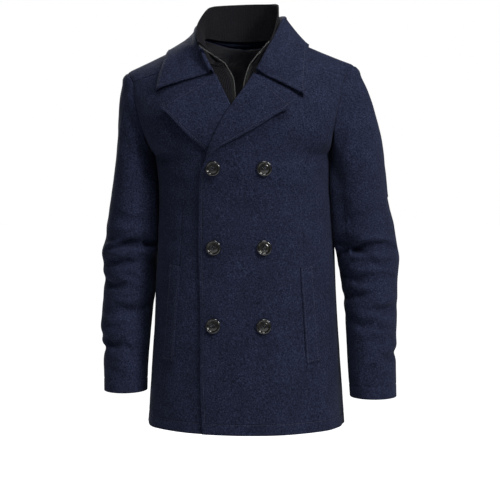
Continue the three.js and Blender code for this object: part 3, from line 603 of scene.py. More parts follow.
def skin_at(want, wanted, s, v, lift=0.0):
    """The outer face where two coordinates, such as x and z, have the wanted values."""
    s, v = np.array(s, float), np.array(v, float)
    for _ in range(16):
        p = body_point(s, v)
        ds = (body_point(s + STEP, v) - p) / STEP
        dv = (body_point(s, v + STEP) - p) / STEP
        i, j = want
        ei, ej = wanted[..., 0] - p[..., i], wanted[..., 1] - p[..., j]
        det = ds[..., i] * dv[..., j] - dv[..., i] * ds[..., j]
        det = np.where(np.abs(det) < 1e-6, 1e-6, det)
        s += np.clip((ei * dv[..., j] - dv[..., i] * ej) / det, -0.2, 0.2)
        v += np.clip((ds[..., i] * ej - ei * ds[..., j]) / det, -0.8, 0.8)
    return skin(s, v, lift)


def front_at(x, z, lift=0.0):
    x, z = np.broadcast_arrays(np.asarray(x, float), np.asarray(z, float))
    guess = np.clip(8 * (z + 746) / (746 * 0.88), 0.2, 8.6)
    return skin_at((0, 2), np.stack([x, z], -1), x / 190, guess, lift)


# Creases of the fronts: points (x, z), half width, depth, swelling beside it
FRONT_FOLDS = [
    ([(176, -214), (150, -228), (118, -236), (84, -238)], 9, 2.2, 0.5),
    ([(178, -190), (160, -184), (143, -170), (132, -150)], 9, 1.6, 0.5),
    ([(168, -300), (132, -309), (88, -306), (58, -300)], 13, 1.3, 0.5),
    ([(170, -338), (128, -352), (84, -350)], 14, 1.5, 0.6),
    ([(40, -420), (8, -452), (-14, -520)], 16, 1.1, 0.4),
    ([(46, -566), (52, -630), (44, -712)], 20, 1.5, 0.4),
    ([(-40, -566), (-30, -640), (-38, -722)], 20, 1.2, 0.4),
    ([(-20, -268), (6, -300), (12, -352)], 15, 1.2, 0.4),
    ([(-176, -214), (-150, -232), (-120, -238), (-92, -240)], 9, 2.4, 0.5),
    ([(-188, -168), (-170, -176), (-150, -166)], 8, 1.5, 0.5),
    ([(-168, -268), (-140, -286), (-104, -288), (-78, -280)], 12, 1.9, 0.6),
    ([(-168, -318), (-136, -334), (-100, -330)], 12, 1.4, 0.5),
    ([(-166, -372), (-140, -392), (-108, -390), (-84, -380)], 14, 1.7, 0.5),
    ([(-98, -480), (-104, -580), (-100, -700)], 15, 1.6, 0.5),
    ([(96, -500), (104, -600), (101, -706)], 17, 1.6, 0.5),
    ([(152, -450), (158, -560), (163, -680)], 14, 1.7, 0.5),
    ([(-153, -470), (-157, -580), (-163, -690)], 14, 1.9, 0.5),
    ([(-112, -225), (-124, -320), (-120, -460)], 34, 4.2, 0.2),
    ([(128, -250), (136, -330), (132, -420)], 26, 2.2, 0.2),
]
BUTTON_X, BUTTON_Z = 47, (-254.5, -403, -549)
FRONT_CUT = {"left": (0.340, 0.755, 0.209), "right": (0.337, 0.760, 0.206)}
DART_X, DART_TOP, DART_FOOT = 115.5, -302, -446


def front_grid(side):
    name = "left" if side > 0 else "right"
    edge = 1 if side > 0 else 2

    def past(p):
        return side * (p[..., 0] - np.interp(p[..., 2], FRONT_EDGE[:, 0], FRONT_EDGE[:, edge]))
    v = rows_by_length(0, SHOULDER_SEAM - SEAM_ROW, side * 0.5, 3.9,
                       (*ROUND, 17, 19, 20, 21, 23), ROUND)
    inner = crossing(past, side, v, -0.8, 0.95)
    # The dart follows one column of points, which are close together there
    at_dart = skin_at((0, 2), np.array([[side * DART_X, -375.0]]), [side * 0.6], [4.0])
    probe = np.linspace(0.3, 0.95, 400)
    k = np.argmin(np.abs(v - 3.9))
    across = body_point(side * mix(inner[k], 1 - SEAM_S, probe), np.full(probe.shape, v[k]))
    dart = probe[np.argmin(np.abs(across[:, 0] - at_dart[0][0, 0]))]
    a = marks(245, 3.9, STITCHED, ROUND)
    close = dart + np.array([-3.4, -2, -1, -0.4, 0, 0.4, 1, 2, 3.4]) / 245
    a = np.sort(np.concatenate([a[np.abs(a - dart) > 5 / 245], close]))
    s = side * mix(inner[:, None], 1 - SEAM_S, a[None, :])
    rows = np.broadcast_to(v[:, None], s.shape)
    p, n = skin(s, rows)
    lift = front_lift(side, p[..., 0], p[..., 2])
    p, n = skin(s, rows, lift)
    return p, n, int(np.argmin(np.abs(a - dart)))


for name, side in SIDES.items():
    p, n, dart = front_grid(side)
    relief = folded(p[..., 0], p[..., 2], FRONT_FOLDS)
    relief += 0.55 * ripple(p, 110, 11) + 0.25 * ripple(p, 38, 12)
    for z in BUTTON_Z:  # the cloth is drawn in under each button
        away = np.hypot(p[..., 0] - side * BUTTON_X, p[..., 2] - z)
        relief -= 1.1 * np.exp(-(away / 13) ** 2)
        away = np.hypot(p[..., 0] + side * BUTTON_X, p[..., 2] - z)
        relief -= 1.1 * np.exp(-(away / 13) ** 2)
    left, right = spans(p, 1)
    low, high = spans(p, 0)
    quiet = smooth(0, 10, left) * smooth(0, 12, right) * smooth(0, 14, high)
    quiet *= 1 - 0.75 * smooth(-262, -238, p[..., 2]) * (left < 120)
    base = p + n * (relief * quiet)[..., None]
    # the turned edge waves slightly down its length
    sway = 0.9 * np.sin(p[..., 2] / 46 + 0.6) * smooth(-262, -330, p[..., 2]) if side > 0 else 0
    base[..., 0] += sway * (1 - smooth(0, 40, left)) * side
    n = normals_of(base, n)
    stitched = smooth(-250, -262, p[..., 2])
    carve = groove(low, 20, 1.1, 0.75) + groove(left, 7) * stitched
    along_dart = smooth(DART_TOP, DART_TOP - 40, p[..., 2]) * smooth(DART_FOOT - 6, DART_FOOT, p[..., 2])
    off = np.abs(left - left[:, dart:dart + 1])
    seam_dip = (-0.85 * np.exp(-(off / 0.8) ** 2) - 0.55 * np.exp(-(off / 5.5) ** 2)) * along_dart
    armhole_dip = 1.8 * np.exp(-(right / 5) ** 2) * smooth(-250, -224, p[..., 2])
    face = base + n * (carve + seam_dip - armhole_dip)[..., None]
    piece, outer = shell(f"front_{name}_panel", face, n, WOOL, [navy_wool, lining],
                         free="bl", sewn="rt", inner_from=62, back=base)
    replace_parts(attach(piece, "root"), f"front_{name}")
    if side < 0:
        wide, long, area = FRONT_CUT[name]
    stitch_lines.append(line_at(outer, low, 20, 0))
    edge_line = line_at(outer, left, 7, 1)
    stitch_lines.append(edge_line[edge_line[:, 2] < -256])

# SLEEVES
# Two-piece sleeves: a broad upper sleeve and a narrow under sleeve, set into the armholes
# with a little fullness at the crown, and turned up inside at the cuffs. The wool buckles
# at the inside of the elbow and stacks in soft folds down the forearm.

# Rings down the arm: height, middle x out from the coat, middle y, half width, half depth
SLEEVE_RINGS = {
    "left": [
        (-245, 218.5, -2, 51.5, 67),
        (-302, 222.5, -1, 52.5, 67),
        (-361, 230, 1, 57, 65),
        (-427, 236.5, 2, 59, 63),
        (-480, 240, -3, 54, 60),
        (-550, 243.5, -14, 49.5, 57),
        (-630, 245, -27, 46, 54),
        (-689, 248, -35, 44.5, 53),
    ],
    "right": [
        (-245, 218, 10, 40, 72),
        (-302, 221, 11, 45, 71),
        (-361, 225, 12, 50, 68),
        (-427, 229.5, 12, 52, 65),
        (-480, 229.5, 6, 51, 61),
        (-550, 234, -6, 49, 57),
        (-630, 233, -20, 43.5, 55),
        (-685, 232, -28, 41.5, 54),
    ],
}
# Main creases: height, turn from the outside (90 in front, -90 behind), half length in
# degrees, depth, half width, how far it falls over 90 degrees towards the inside
SLEEVE_CREASES = {
    "left": [
        (-402, 110, 60, 7, 11, -14),
        (-462, 125, 45, 5, 10, -16),
        (-498, 140, 45, 5, 9, 10),
        (-524, 50, 42, 4.5, 9, 8),
        (-552, 100, 60, 5, 10, -18),
        (-610, 20, 50, 4, 9, 12),
        (-418, -70, 50, 5, 13, 10),
        (-470, -110, 55, 6, 12, -12),
        (-545, -80, 45, 4, 12, 14),
    ],
    "right": [
        (-396, 105, 70, 7, 11, 8),
        (-434, 85, 50, 5, 9, -10),
        (-478, 60, 55, 5.5, 10, 12),
        (-528, 110, 55, 5, 10, -10),
        (-592, 70, 60, 6, 11, 14),
        (-602, 0, 35, 4, 8, -6),
        (-410, -80, 55, 5, 12, -8),
        (-480, -100, 50, 6, 13, 12),
        (-560, -75, 45, 4, 11, -14),
    ],
}
# Finer creases: points (turn, z), half width, depth, swelling beside it
SLEEVE_FOLDS = {
    "left": [
        ([(168, -422), (140, -412), (108, -403), (78, -396), (48, -396), (10, -409)], 6.5, 5.6, 0.35),
        ([(150, -386), (112, -404), (84, -420), (66, -442)], 6, 2.4, 0.5),
        ([(30, -428), (62, -432), (104, -428), (140, -444)], 7, 2.2, 0.6),
        ([(24, -462), (60, -456), (96, -458), (136, -474)], 7, 2.6, 0.6),
        ([(70, -486), (104, -494), (134, -490)], 6, 2.0, 0.5),
        ([(20, -510), (54, -520), (84, -518)], 7, 2.4, 0.6),
        ([(60, -536), (98, -546), (132, -560)], 8, 2.2, 0.6),
        ([(30, -574), (70, -580), (100, -572)], 9, 1.6, 0.5),
        ([(10, -604), (40, -612), (66, -606)], 8, 1.8, 0.5),
        ([(80, -622), (108, -640), (120, -662)], 10, 1.5, 0.5),
        ([(-30, -402), (-70, -412), (-112, -406)], 9, 2.6, 0.5),
        ([(-50, -444), (-90, -452), (-128, -470)], 10, 2.8, 0.5),
        ([(-40, -500), (-80, -516), (-120, -512)], 10, 2.2, 0.5),
        ([(-60, -560), (-96, -572), (-130, -566)], 11, 1.8, 0.5),
        ([(60, -330), (96, -348), (132, -352)], 9, 1.6, 0.5),
        ([(50, -168), (84, -206), (112, -236)], 12, 1.6, 0.4),
        ([(-50, -150), (-80, -196), (-104, -240)], 13, 2.0, 0.4),
        ([(20, -250), (10, -310), (16, -360)], 15, 1.2, 0.4),
    ],
    "right": [
        ([(172, -400), (140, -398), (110, -395), (88, -397), (60, -407), (34, -414)], 6.5, 5.8, 0.35),
        ([(34, -420), (68, -428), (108, -436), (146, -432)], 6, 2.4, 0.55),
        ([(120, -404), (100, -418), (88, -438)], 5, 2.0, 0.4),
        ([(22, -470), (58, -480), (94, -474)], 7, 2.4, 0.6),
        ([(76, -452), (110, -462), (140, -484)], 7, 2.2, 0.5),
        ([(64, -512), (100, -524), (140, -528)], 7, 2.4, 0.5),
        ([(26, -548), (60, -560), (98, -556)], 8, 1.8, 0.5),
        ([(40, -580), (66, -594), (92, -588)], 6, 2.8, 0.6),
        ([(92, -588), (112, -600), (126, -620)], 6, 2.2, 0.5),
        ([(92, -588), (116, -574), (138, -574)], 7, 1.6, 0.5),
        ([(-14, -592), (14, -604), (40, -600)], 8, 1.8, 0.5),
        ([(60, -640), (88, -650), (112, -644)], 10, 1.4, 0.5),
        ([(-34, -398), (-76, -408), (-118, -416)], 9, 2.6, 0.5),
        ([(-56, -470), (-96, -480), (-130, -470)], 10, 2.6, 0.5),
        ([(-40, -540), (-84, -556), (-118, -566)], 10, 2.0, 0.5),
        ([(56, -336), (92, -352), (130, -350)], 9, 1.6, 0.5),
        ([(52, -172), (82, -212), (108, -240)], 12, 1.8, 0.4),
        ([(-46, -156), (-78, -200), (-102, -244)], 13, 2.0, 0.4),
    ],
}
SLEEVE_CUT = {
    "upper": {"left": (0.313, 0.651, 0.140), "right": (0.304, 0.630, 0.131)},
    "under": {"left": (0.142, 0.521, 0.055), "right": (0.142, 0.510, 0.055)},
}
arm_rows = np.arange(ARMPIT, BACK_ARMPIT + 0.25, 0.5)
COLUMNS = len(arm_rows) - 1
arm_points = side_at(arm_rows)
arm_run = np.concatenate([[0], np.cumsum(np.linalg.norm(np.diff(arm_points, axis=0), axis=1))])
crest_run = arm_run[int((CREST - ARMPIT) * 2)]
FRONT_COLUMN, HIND_COLUMN = 3, 19
CUFF_TURN = 24


def turn_of(c):
    run = np.interp(c, np.arange(COLUMNS + 1), arm_run)
    return np.where(run <= crest_run, np.pi * (1 - run / crest_run),
                    -np.pi * (run - crest_run) / (arm_run[-1] - crest_run))


def sleeve_point(name, c, w):
    """c: place round the armhole. w: 0 to 1 over the cap, 1 to 2 down the arm."""
    side = SIDES[name]
    rings = np.array(SLEEVE_RINGS[name], float)
    centre = spline(np.stack([side * rings[:, 1], rings[:, 2], rings[:, 0]], 1))
    size = spline(np.stack([rings[:, 3], rings[:, 4], 0 * rings[:, 0]], 1))
    around = np.mod(c, COLUMNS)
    turn = turn_of(around)

    def ring(t):
        m, half = centre(t), size(t)
        return np.stack([m[..., 0] + side * half[..., 0] * np.cos(turn),
                         m[..., 1] - half[..., 1] * np.sin(turn), m[..., 2]], -1)
    t = np.clip(w - 1, 0, 1)
    p = ring(t)
    m = centre(t)
    push = np.zeros(p.shape[:-1])
    for z, mid, spread, deep, high, slant in SLEEVE_CREASES[name]:
        away = np.degrees(turn) - mid
        away = away - 360 * np.round(away / 360)
        q = (p[..., 2] - (z - slant * away / 90)) / high
        push += deep * np.exp(-(away / spread) ** 2) * (
            0.35 * np.exp(-(q - 1.9) ** 2) - np.exp(-q * q))
    inner = 0.5 * (1 - np.cos(turn))
    push = np.minimum(push, push * (1 - smooth(0.75, 0.95, inner)))
    out = unit(np.stack([p[..., 0] - m[..., 0], p[..., 1] - m[..., 1], 0 * m[..., 0]], -1))
    arm = p + out * push[..., None]
    # the cap, from the armhole to the first ring
    v = np.interp(around, np.arange(COLUMNS + 1), arm_rows)
    start = side_at(v) * np.array([side, 1, 1])
    start = pose(start)
    inner = (np.abs(turn) / np.pi)[..., None]
    off = unit(body_point(side + 0 * v, v) - body_point(side * (1 - STEP) + 0 * v, v))
    fall = unit(np.array([side * 0.3, 0, -1.0]))
    down = unit(np.array([side * 0.22, 0, -1.0]))
    turned = mix(off, down, 0.62 * (1 - smooth(0.1, 0.45, inner)))
    leave = unit(mix(turned, fall, smooth(0.5, 0.85, inner)))
    start = start + off * 0.1
    start[..., 0] += side * 0.3 * smooth(0.3, 0.8, inner[..., 0])
    end = ring(np.zeros(t.shape))
    reach = np.linalg.norm(start - end, axis=-1, keepdims=True)
    arrive = unit(ring(np.full(t.shape, 0.02)) - end)
    h = np.clip(w, 0, 1)[..., None]
    cap = start * (2 * h ** 3 - 3 * h ** 2 + 1) + end * (3 * h ** 2 - 2 * h ** 3)
    cap += leave * reach * mix(0.75, 0.9, inner) * (h ** 3 - 2 * h ** 2 + h)
    cap += arrive * reach * mix(1.1, 0.9, inner) * (h ** 3 - h ** 2)
    return np.where((w > 1)[..., None], arm, cap), turn


PRESSED = {"left": -398, "right": -408}  # height down to which each arm touches the coat
# Where the cloth puffs out between creases: turn, height, half width in degrees, half height, mm
SLEEVE_PUFFS = {
    "left": [(28, -424, 60, 16, 3.4), (100, -425, 45, 13, 2.6), (60, -500, 50, 14, 1.8),
             (80, -560, 50, 14, 1.6)],
    "right": [(20, -418, 55, 17, 4.4), (100, -414, 50, 13, 2.8), (70, -455, 50, 13, 2.0),
              (24, -560, 55, 20, 2.0), (100, -552, 40, 14, 2.2)],
}


def gap_beside(side, p):
    """How far a sleeve's points are out from the coat's side, straight across."""
    v = np.concatenate([np.arange(0.2, ARMPIT, 0.05), np.arange(BACK_ARMPIT + 0.05, LAST, 0.05)])
    s, v = np.meshgrid(side * np.linspace(0.5, 1, 44), v)
    flank = skin(s, v)[0].reshape(-1, 3)
    tree = KDTree(len(flank))
    for k, spot in enumerate(flank):
        tree.insert(Vector((0, spot[1], spot[2])), k)
    tree.balance()
    gap = np.full(p.shape[:-1], 999.0)
    for place in zip(*np.nonzero((p[..., 2] < -200) & (p[..., 2] > -460))):
        spot = p[place]
        found = tree.find_n(Vector((0, spot[1], spot[2])), 5)
        if found[0][2] < 8:
            weight = np.array([1 / (f[2] + 0.5) for f in found])
            x = (side * flank[[f[1] for f in found], 0] * weight).sum() / weight.sum()
            gap[place] = side * spot[0] - x
    return gap


def sleeve_strip(name, first, last, wide):
    """Points of one piece of a sleeve, between two of its columns."""
    c = mix(first, last, marks(wide, 3.6, ROUND, ROUND))
    fine = np.linspace(0, 2, 1200)
    line, _ = sleeve_point(name, np.full(fine.shape, 11.0), fine)
    run = np.concatenate([[0], np.cumsum(np.linalg.norm(np.diff(line, axis=0), axis=1))])
    w = np.interp(marks(run[-1], 3.4, ROUND, (*ROUND, 21, 23, 24, 25, 27)) * run[-1], run, fine)
    c, w = np.meshgrid(c, w)
    p, turn = sleeve_point(name, c, w)
    side = SIDES[name]
    h = 0.02
    da = sleeve_point(name, c + h, w)[0] - sleeve_point(name, c - h, w)[0]
    low_w, high_w = np.maximum(w - 0.004, 0), np.minimum(w + 0.004, 2)
    db = sleeve_point(name, c, high_w)[0] - sleeve_point(name, c, low_w)[0]
    n = unit(np.cross(da, db)) * (-side)
    return p, n, turn


for name, side in SIDES.items():
    for part, first, last, wide in (
            ("upper", FRONT_COLUMN + 0.001, HIND_COLUMN - 0.001, 290),
            ("under", HIND_COLUMN + 0.001, FRONT_COLUMN + COLUMNS - 0.001, 110)):
        p, seam_n, turn = sleeve_strip(name, first, last, wide)
        n = seam_n
        degrees = np.degrees(turn)
        degrees = np.where(degrees < -150, degrees + 360, degrees) if part == "under" else degrees
        relief = 1.7 * folded(degrees, p[..., 2], SLEEVE_FOLDS[name], hanging=True)
        for mid, z, spread, high, swell in SLEEVE_PUFFS[name]:
            relief += swell * np.exp(-((degrees - mid) / spread) ** 2 - ((p[..., 2] - z) / high) ** 2)
        relief += 0.6 * ripple(p, 90, 21) + 0.3 * ripple(p, 34, 22)
        left, right = spans(p, 1)
        low, high = spans(p, 0)
        # fullness eased into the crown stands up beyond the armhole seam
        crown = 2.4 * np.exp(-((low - 13) / 8) ** 2) * smooth(0.75, 0.3, 0.5 * (1 - np.cos(turn)))
        quiet = smooth(0, 22, low) * smooth(0, 8, left) * smooth(0, 8, right)
        inner = 0.5 * (1 - np.cos(turn))
        relief = np.minimum(relief, mix(relief, 0.0, smooth(0.6, 0.85, inner)))
        base = p + n * (relief * quiet + crown)[..., None]
        # the upper arm lies against the coat's side, with hardly any gap
        gap = gap_beside(side, base)
        lower = smooth(-226, -300, p[..., 2])
        shut = smooth(-210, -226, p[..., 2]) * smooth(PRESSED[name] - 34, PRESSED[name], p[..., 2])
        near_by = smooth(mix(7, 34, lower), mix(4, 10, lower), gap) * smooth(0.3, 0.7, inner)
        base[..., 0] -= side * np.maximum(gap - 1.0, 0) * near_by * shut
        # both sides of a seam share one normal there, so that their walls close it
        inside = (smooth(0, 6, left) * smooth(0, 6, right))[..., None]
        n = unit(mix(seam_n, normals_of(base, n), inside))
        face = base + n * groove(high, CUFF_TURN, 1.3, 0.6)[..., None]
        piece, outer = shell(f"sleeve_{part}_{name}_panel", face, n, WOOL, [navy_wool, lining],
                             free="t", sewn="lrb", inner_from=38, back=base,
                             sink={"b": (6.5, 3.0), "l": (2.0, 0.6), "r": (2.0, 0.6)})
        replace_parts(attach(piece, "root"), f"sleeve_{part}_{name}")
        wide, long, area = SLEEVE_CUT[part][name]

# LAPELS
# The top of each front turned back over a soft roll, faced with the same wool. The edges
# are pressed and topstitched all round at 7 mm; the right lapel runs under the left front.

# Places on the fronts: roll line x, z and free edge x, z
LAPELS = {
    "left": [
        (-62, -239, -57, -238),
        (-54, -219, -37, -217),
        (-43, -191, 0, -197),
        (-25, -156, 37, -176),
        (-5, -127, 70, -155),
        (13, -99, 89, -146),
        (27, -75, 97, -138),
    ],
    "right": [
        (-46, -236, -52, -232),
        (-31, -207, -74, -211),
        (-14, -178, -97, -190),
        (-8, -152, -120, -166),
        (-19, -136, -136, -151),
        (-34, -108, -147, -143),
        (-50, -77, -149, -138),
    ],
}
LAPEL_WOOL, LAYER_GAP, STAND_OFF = 2.8, 0.6, 9.0
LAPEL_CUT = {"left": (0.109, 0.196, 0.0115), "right": (0.132, 0.187, 0.0138)}

for name, side in SIDES.items():
    rows = np.array(LAPELS[name], float)
    roll_line = spline(columns(rows, 0, None, 1))
    edge_line = spline(columns(rows, 2, None, 3))
    b = marks(215, 1.7, ROUND, STITCHED)
    a = marks(105, 1.7, (0,), STITCHED)
    face_a, face_b = np.meshgrid(a, b)
    flat_p = mix(roll_line(face_b), edge_line(face_b), face_a[..., None])
    x, z = flat_p[..., 0], flat_p[..., 2]
    grown = smooth(0, 0.16, face_b)
    # the cloth bellies from the roll and its tip lifts off the chest
    belly = 1.8 * np.sin(np.pi * np.clip(face_a, 0, 1)) * grown
    raised = STAND_OFF * face_a ** 2 * smooth(0.05, 0.5, face_b) + belly
    lift = front_lift(side, x, z) + (LAYER_GAP + LAPEL_WOOL) * grown + raised
    p, n = front_at(x, z, lift)
    # the roll: half a turn of cloth from behind the front's edge to the lapel's face
    roll_b = b
    line = roll_line(roll_b)
    toward = roll_line(roll_b) - edge_line(roll_b)
    rx, rz = line[:, 0], line[:, 2]
    own = front_lift(side, rx, rz)
    g = smooth(0, 0.16, roll_b)
    centre, rn = front_at(rx, rz, own + mix(-1.5, 0.2, g))
    radius = mix(1.5, 3.2, g)
    tangent = unit(np.gradient(centre, axis=0))
    away = np.cross(rn, tangent)
    away = unit(away * np.sign(np.sum(away * toward, -1, keepdims=True)))
    angles = np.radians(np.linspace(-88, 88, 13))
    arc = np.stack([centre + radius[:, None] * (away * math.cos(t) + rn * math.sin(t))
                    for t in angles], 1)
    arc_n = np.stack([away * math.cos(t) + rn * math.sin(t) for t in angles], 1)
    p = np.concatenate([arc, p[:, 1:]], 1)
    n = np.concatenate([arc_n, n[:, 1:]], 1)
    left, right = spans(p, 1)
    low, high = spans(p, 0)
    relief = (0.5 * ripple(p, 70, 31) + 0.25 * ripple(p, 26, 32)) * smooth(6, 30, left)
    base = p + n * (relief * smooth(0, 12, right))[..., None]
    n = normals_of(base, n)
    top_stitch = groove(high, 7) * smooth(9, 14, left) * smooth(5, 7, right)
    carve = groove(right, 7) * smooth(5, 7, high) + top_stitch
    face = base + n * (carve * smooth(8, 16, low))[..., None]
    piece, outer = shell(f"lapel_{name}_facing", face, n, LAPEL_WOOL, [navy_wool],
                         free="rt", back=base)
    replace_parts(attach(piece, "root"), f"lapel_{name}")
    wide, long, area = LAPEL_CUT[name]
    long_edge = line_at(outer, right, 7, 1)
    stitch_lines.append(long_edge[8:-8])
    short_edge = line_at(outer, high, 7, 0)
    stitch_lines.append(short_edge[22:-8])

# WELT POCKETS
# A slanted strip of wool over each hip pocket, folded double, topstitched round and tacked
# at both ends, so that it lies almost flush with the front.
WELT = {"top": (125, -438), "foot": (137, -618), "wide": 24, "thick": 1.9, "rise": 2.7}

for name, side in SIDES.items():
    a = marks(WELT["wide"], 1.2, ROUND, ROUND)
    b = marks(180, 2.4, ROUND, ROUND)
    a, b = np.meshgrid(a, b)
    x = side * (mix(WELT["foot"][0], WELT["top"][0], b) + (a - 0.5) * WELT["wide"])
    z = mix(WELT["foot"][1], WELT["top"][1], b) + (a - 0.5) * 4
    raw, _ = front_at(x, z)
    relief = folded(raw[..., 0], raw[..., 2], FRONT_FOLDS)
    relief += 0.55 * ripple(raw, 110, 11) + 0.25 * ripple(raw, 38, 12)
    p, n = front_at(x, z, front_lift(side, x, z) + relief + WELT["rise"])
    left, right = spans(p, 1)
    low, high = spans(p, 0)
    edge_gap = np.minimum(np.minimum(left, low), high)
    n = normals_of(p, n)
    ends = groove(low, 4) * smooth(3, 4.2, right) + groove(high, 4) * smooth(3, 4.2, right)
    carve = groove(left, 4) + groove(right, 5.5) * 0.8 + ends
    # sewn down along the front side and both ends, free along the outer side
    sunk = rounding(np.minimum(edge_gap, 3.2), 3.2, 1.5)
    face = p + n * (carve - sunk)[..., None]
    piece, outer = shell(f"welt_{name}_strip", face, n, WELT["thick"], [navy_wool],
                         free="lrbt", back=p - n * sunk[..., None] * 0.2)
    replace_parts(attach(piece, "root"), f"welt_{name}")
    stitch_lines.append(line_at(outer, left, 4, 1)[5:-5])
    stitch_lines.append(line_at(outer, right, 5.5, 1)[5:-5])
    stitch_lines.append(line_at(outer, low, 4, 0)[5:-5])
    stitch_lines.append(line_at(outer, high, 4, 0)[5:-5])

# COLLAR
# One folded piece: a stand that rises from the neck seam, a soft fold, and a broad fall
# with pointed ends that lies over the fronts and the back. Topstitched at 7 mm round its
# free edge. The gap between its ends and the lapels is the notch.

# Stations from the wearer's right front end round the neck to the left one. seam x, its
# other place (0: y, 1: z) and value; fold x, y, z; edge x and its other value
COLLAR = np.array([
    (-50, 1, -73, -51, -104, -67, -162, -108),
    (-60, 1, -56, -64, -97, -46, -160, -86),
    (-77, 0, -50, -84, -62, -2, -154, -46),
    (-84, 0, -8, -93, -12, 22, -148, -6),
    (-79, 0, 24, -87, 27, 33, -137, 46),
    (-59, 0, 50, -66, 57, 40, -100, 78),
    (-36, 0, 62, -40, 71, 44, -56, 93),
    (-8, 0, 67, -8, 77, 46, -8, 98),
    (20, 0, 62, 24, 72, 46, 40, 93),
    (43, 0, 50, 50, 57, 46, 82, 78),
    (63, 0, 24, 67, 27, 45, 113, 46),
    (68, 0, -8, 70, -10, 37, 119, 0),
    (60, 0, -50, 60, -60, 3, 121, -42),
    (41, 1, -56, 38, -97, -45, 121, -92),
    (29, 1, -71, 29, -104, -65, 120, -119),
], float)
COLLAR_WOOL, FOLD_RADIUS = 3.2, 5.0
FALL_CLEAR = COLLAR_WOOL + 1.2


class Faces:
    """Points of cloth faces with normals, which another cloth has to stay clear of."""

    def __init__(self, grids):
        self.p = np.concatenate([p.reshape(-1, 3) for p, n in grids])
        self.n = np.concatenate([n.reshape(-1, 3) for p, n in grids])
        self.tree = KDTree(len(self.p))
        for k, spot in enumerate(self.p):
            self.tree.insert(Vector(spot), k)
        self.tree.balance()

    def push(self, points, clear):
        """Moves points out until they are clear of the faces."""
        flat = points.reshape(-1, 3).copy()
        clear = np.broadcast_to(clear, points.shape[:-1]).reshape(-1)
        for k, spot in enumerate(flat):
            found = self.tree.find_n(Vector(spot), 5)
            index = [f[1] for f in found]
            weight = 1 / (np.array([f[2] for f in found]) + 0.5) ** 2
            weight /= weight.sum()
            n = unit((self.n[index] * weight[:, None]).sum(0))
            height = (((spot - self.p[index]) * self.n[index]).sum(-1) * weight).sum()
            if height < clear[k]:
                flat[k] = spot + n * (clear[k] - height)
        return flat.reshape(points.shape)


def collar_seat(x, kind, other, lift):
    found = []
    for xi, ki, oi in zip(x, kind, other):
        if ki:
            p, _ = front_at(np.array([xi]), np.array([oi]), front_lift(np.sign(xi), xi, oi) + lift)
        else:
            v = CREST + 1 if oi > 0 else CREST - 1
            p, _ = skin_at((0, 1), np.array([[xi, oi]]), [xi / 200], [float(v)], lift)
        found.append(p[0])
    return np.array(found)


collar_base = spline(collar_seat(COLLAR[:, 0], COLLAR[:, 1], COLLAR[:, 2], 2 * LAYER_GAP))
collar_edge = spline(collar_seat(COLLAR[:, 6], COLLAR[:, 1], COLLAR[:, 7], FALL_CLEAR + 2))
collar_fold = spline(COLLAR[:, 3:6])
under_collar = []
for side in SIDES.values():
    name = "left" if side > 0 else "right"
    p, n, _ = front_grid(side)
    keep = np.linspace(int(len(p) * 0.66), len(p) - 1, 64).astype(int)
    across = np.linspace(0, p.shape[1] - 1, 44).astype(int)
    under_collar.append((p[keep][:, across], n[keep][:, across]))
    p, n = back_grid(side)
    keep = np.linspace(0, int(len(p) * 0.45), 70).astype(int)
    across = np.linspace(0, p.shape[1] - 1, 44).astype(int)
    under_collar.append((p[keep][:, across], n[keep][:, across]))
under_collar = Faces(under_collar)
STAND_TO, FOLD_TO = 0.2, 0.42


def collar_point(a, b, clear=True):
    foot, fold, edge = collar_base(b), collar_fold(b), collar_edge(b)
    up = fold - foot
    radius = np.minimum(FOLD_RADIUS, np.linalg.norm(up, axis=-1) * 0.42)[..., None]
    up = unit(up)
    out = edge - fold
    out = unit(out - up * np.sum(out * up, -1, keepdims=True))
    hub = fold - up * radius + out * radius
    a3 = a[..., None]
    stand = mix(foot, hub - out * radius, np.clip(a3 / STAND_TO, 0, 1))
    angle = np.pi * (1 - np.clip((a3 - STAND_TO) / (FOLD_TO - STAND_TO), 0, 1))
    bend = hub + out * radius * np.cos(angle) + up * radius * np.sin(angle)
    t = np.clip((a3 - FOLD_TO) / (1 - FOLD_TO), 0, 1)
    start = hub + out * radius
    reach = np.linalg.norm(start - edge, axis=-1, keepdims=True)
    fall = start * (2 * t ** 3 - 3 * t ** 2 + 1) + edge * (3 * t ** 2 - 2 * t ** 3)
    fall = fall + (out - up) * reach * 0.5 * (t ** 3 - 2 * t ** 2 + t)
    fall = fall + (edge - start) * (t ** 3 - t ** 2)
    if clear:
        fall = under_collar.push(fall, mix(FALL_CLEAR, FALL_CLEAR + 2, t[..., 0]))
    return np.where(a3 <= STAND_TO, stand, np.where(a3 <= FOLD_TO, bend, fall))


def relaxed(p, keep, rounds):
    """A grid of points with its small facets smoothed, except where keep is 1."""
    for _ in range(rounds):
        soft = p.copy()
        soft[1:-1, 1:-1] = (p[:-2, 1:-1] + p[2:, 1:-1] + p[1:-1, :-2] + p[1:-1, 2:]) / 4
        p = mix(soft, p, keep[..., None])
    return p


a_stand = np.linspace(0, STAND_TO, 12)[:-1]
a_fold = np.linspace(STAND_TO, FOLD_TO, 14)[:-1]
a_fall = FOLD_TO + (1 - FOLD_TO) * marks(118, 2.0, (0,), STITCHED)
a, b = np.meshgrid(np.concatenate([a_stand, a_fold, a_fall]), marks(470, 2.2, STITCHED, STITCHED))
p = collar_point(a, b)
falling = smooth(FOLD_TO, FOLD_TO + 0.1, a)
p = relaxed(p, 1 - falling * 0.9, 10)
n = normals_of(p)
n = n * np.sign(np.sum(n[len(n) // 2, -12] * np.array([0, 1.0, 0.6])))
left, right = spans(p, 1)
low, high = spans(p, 0)
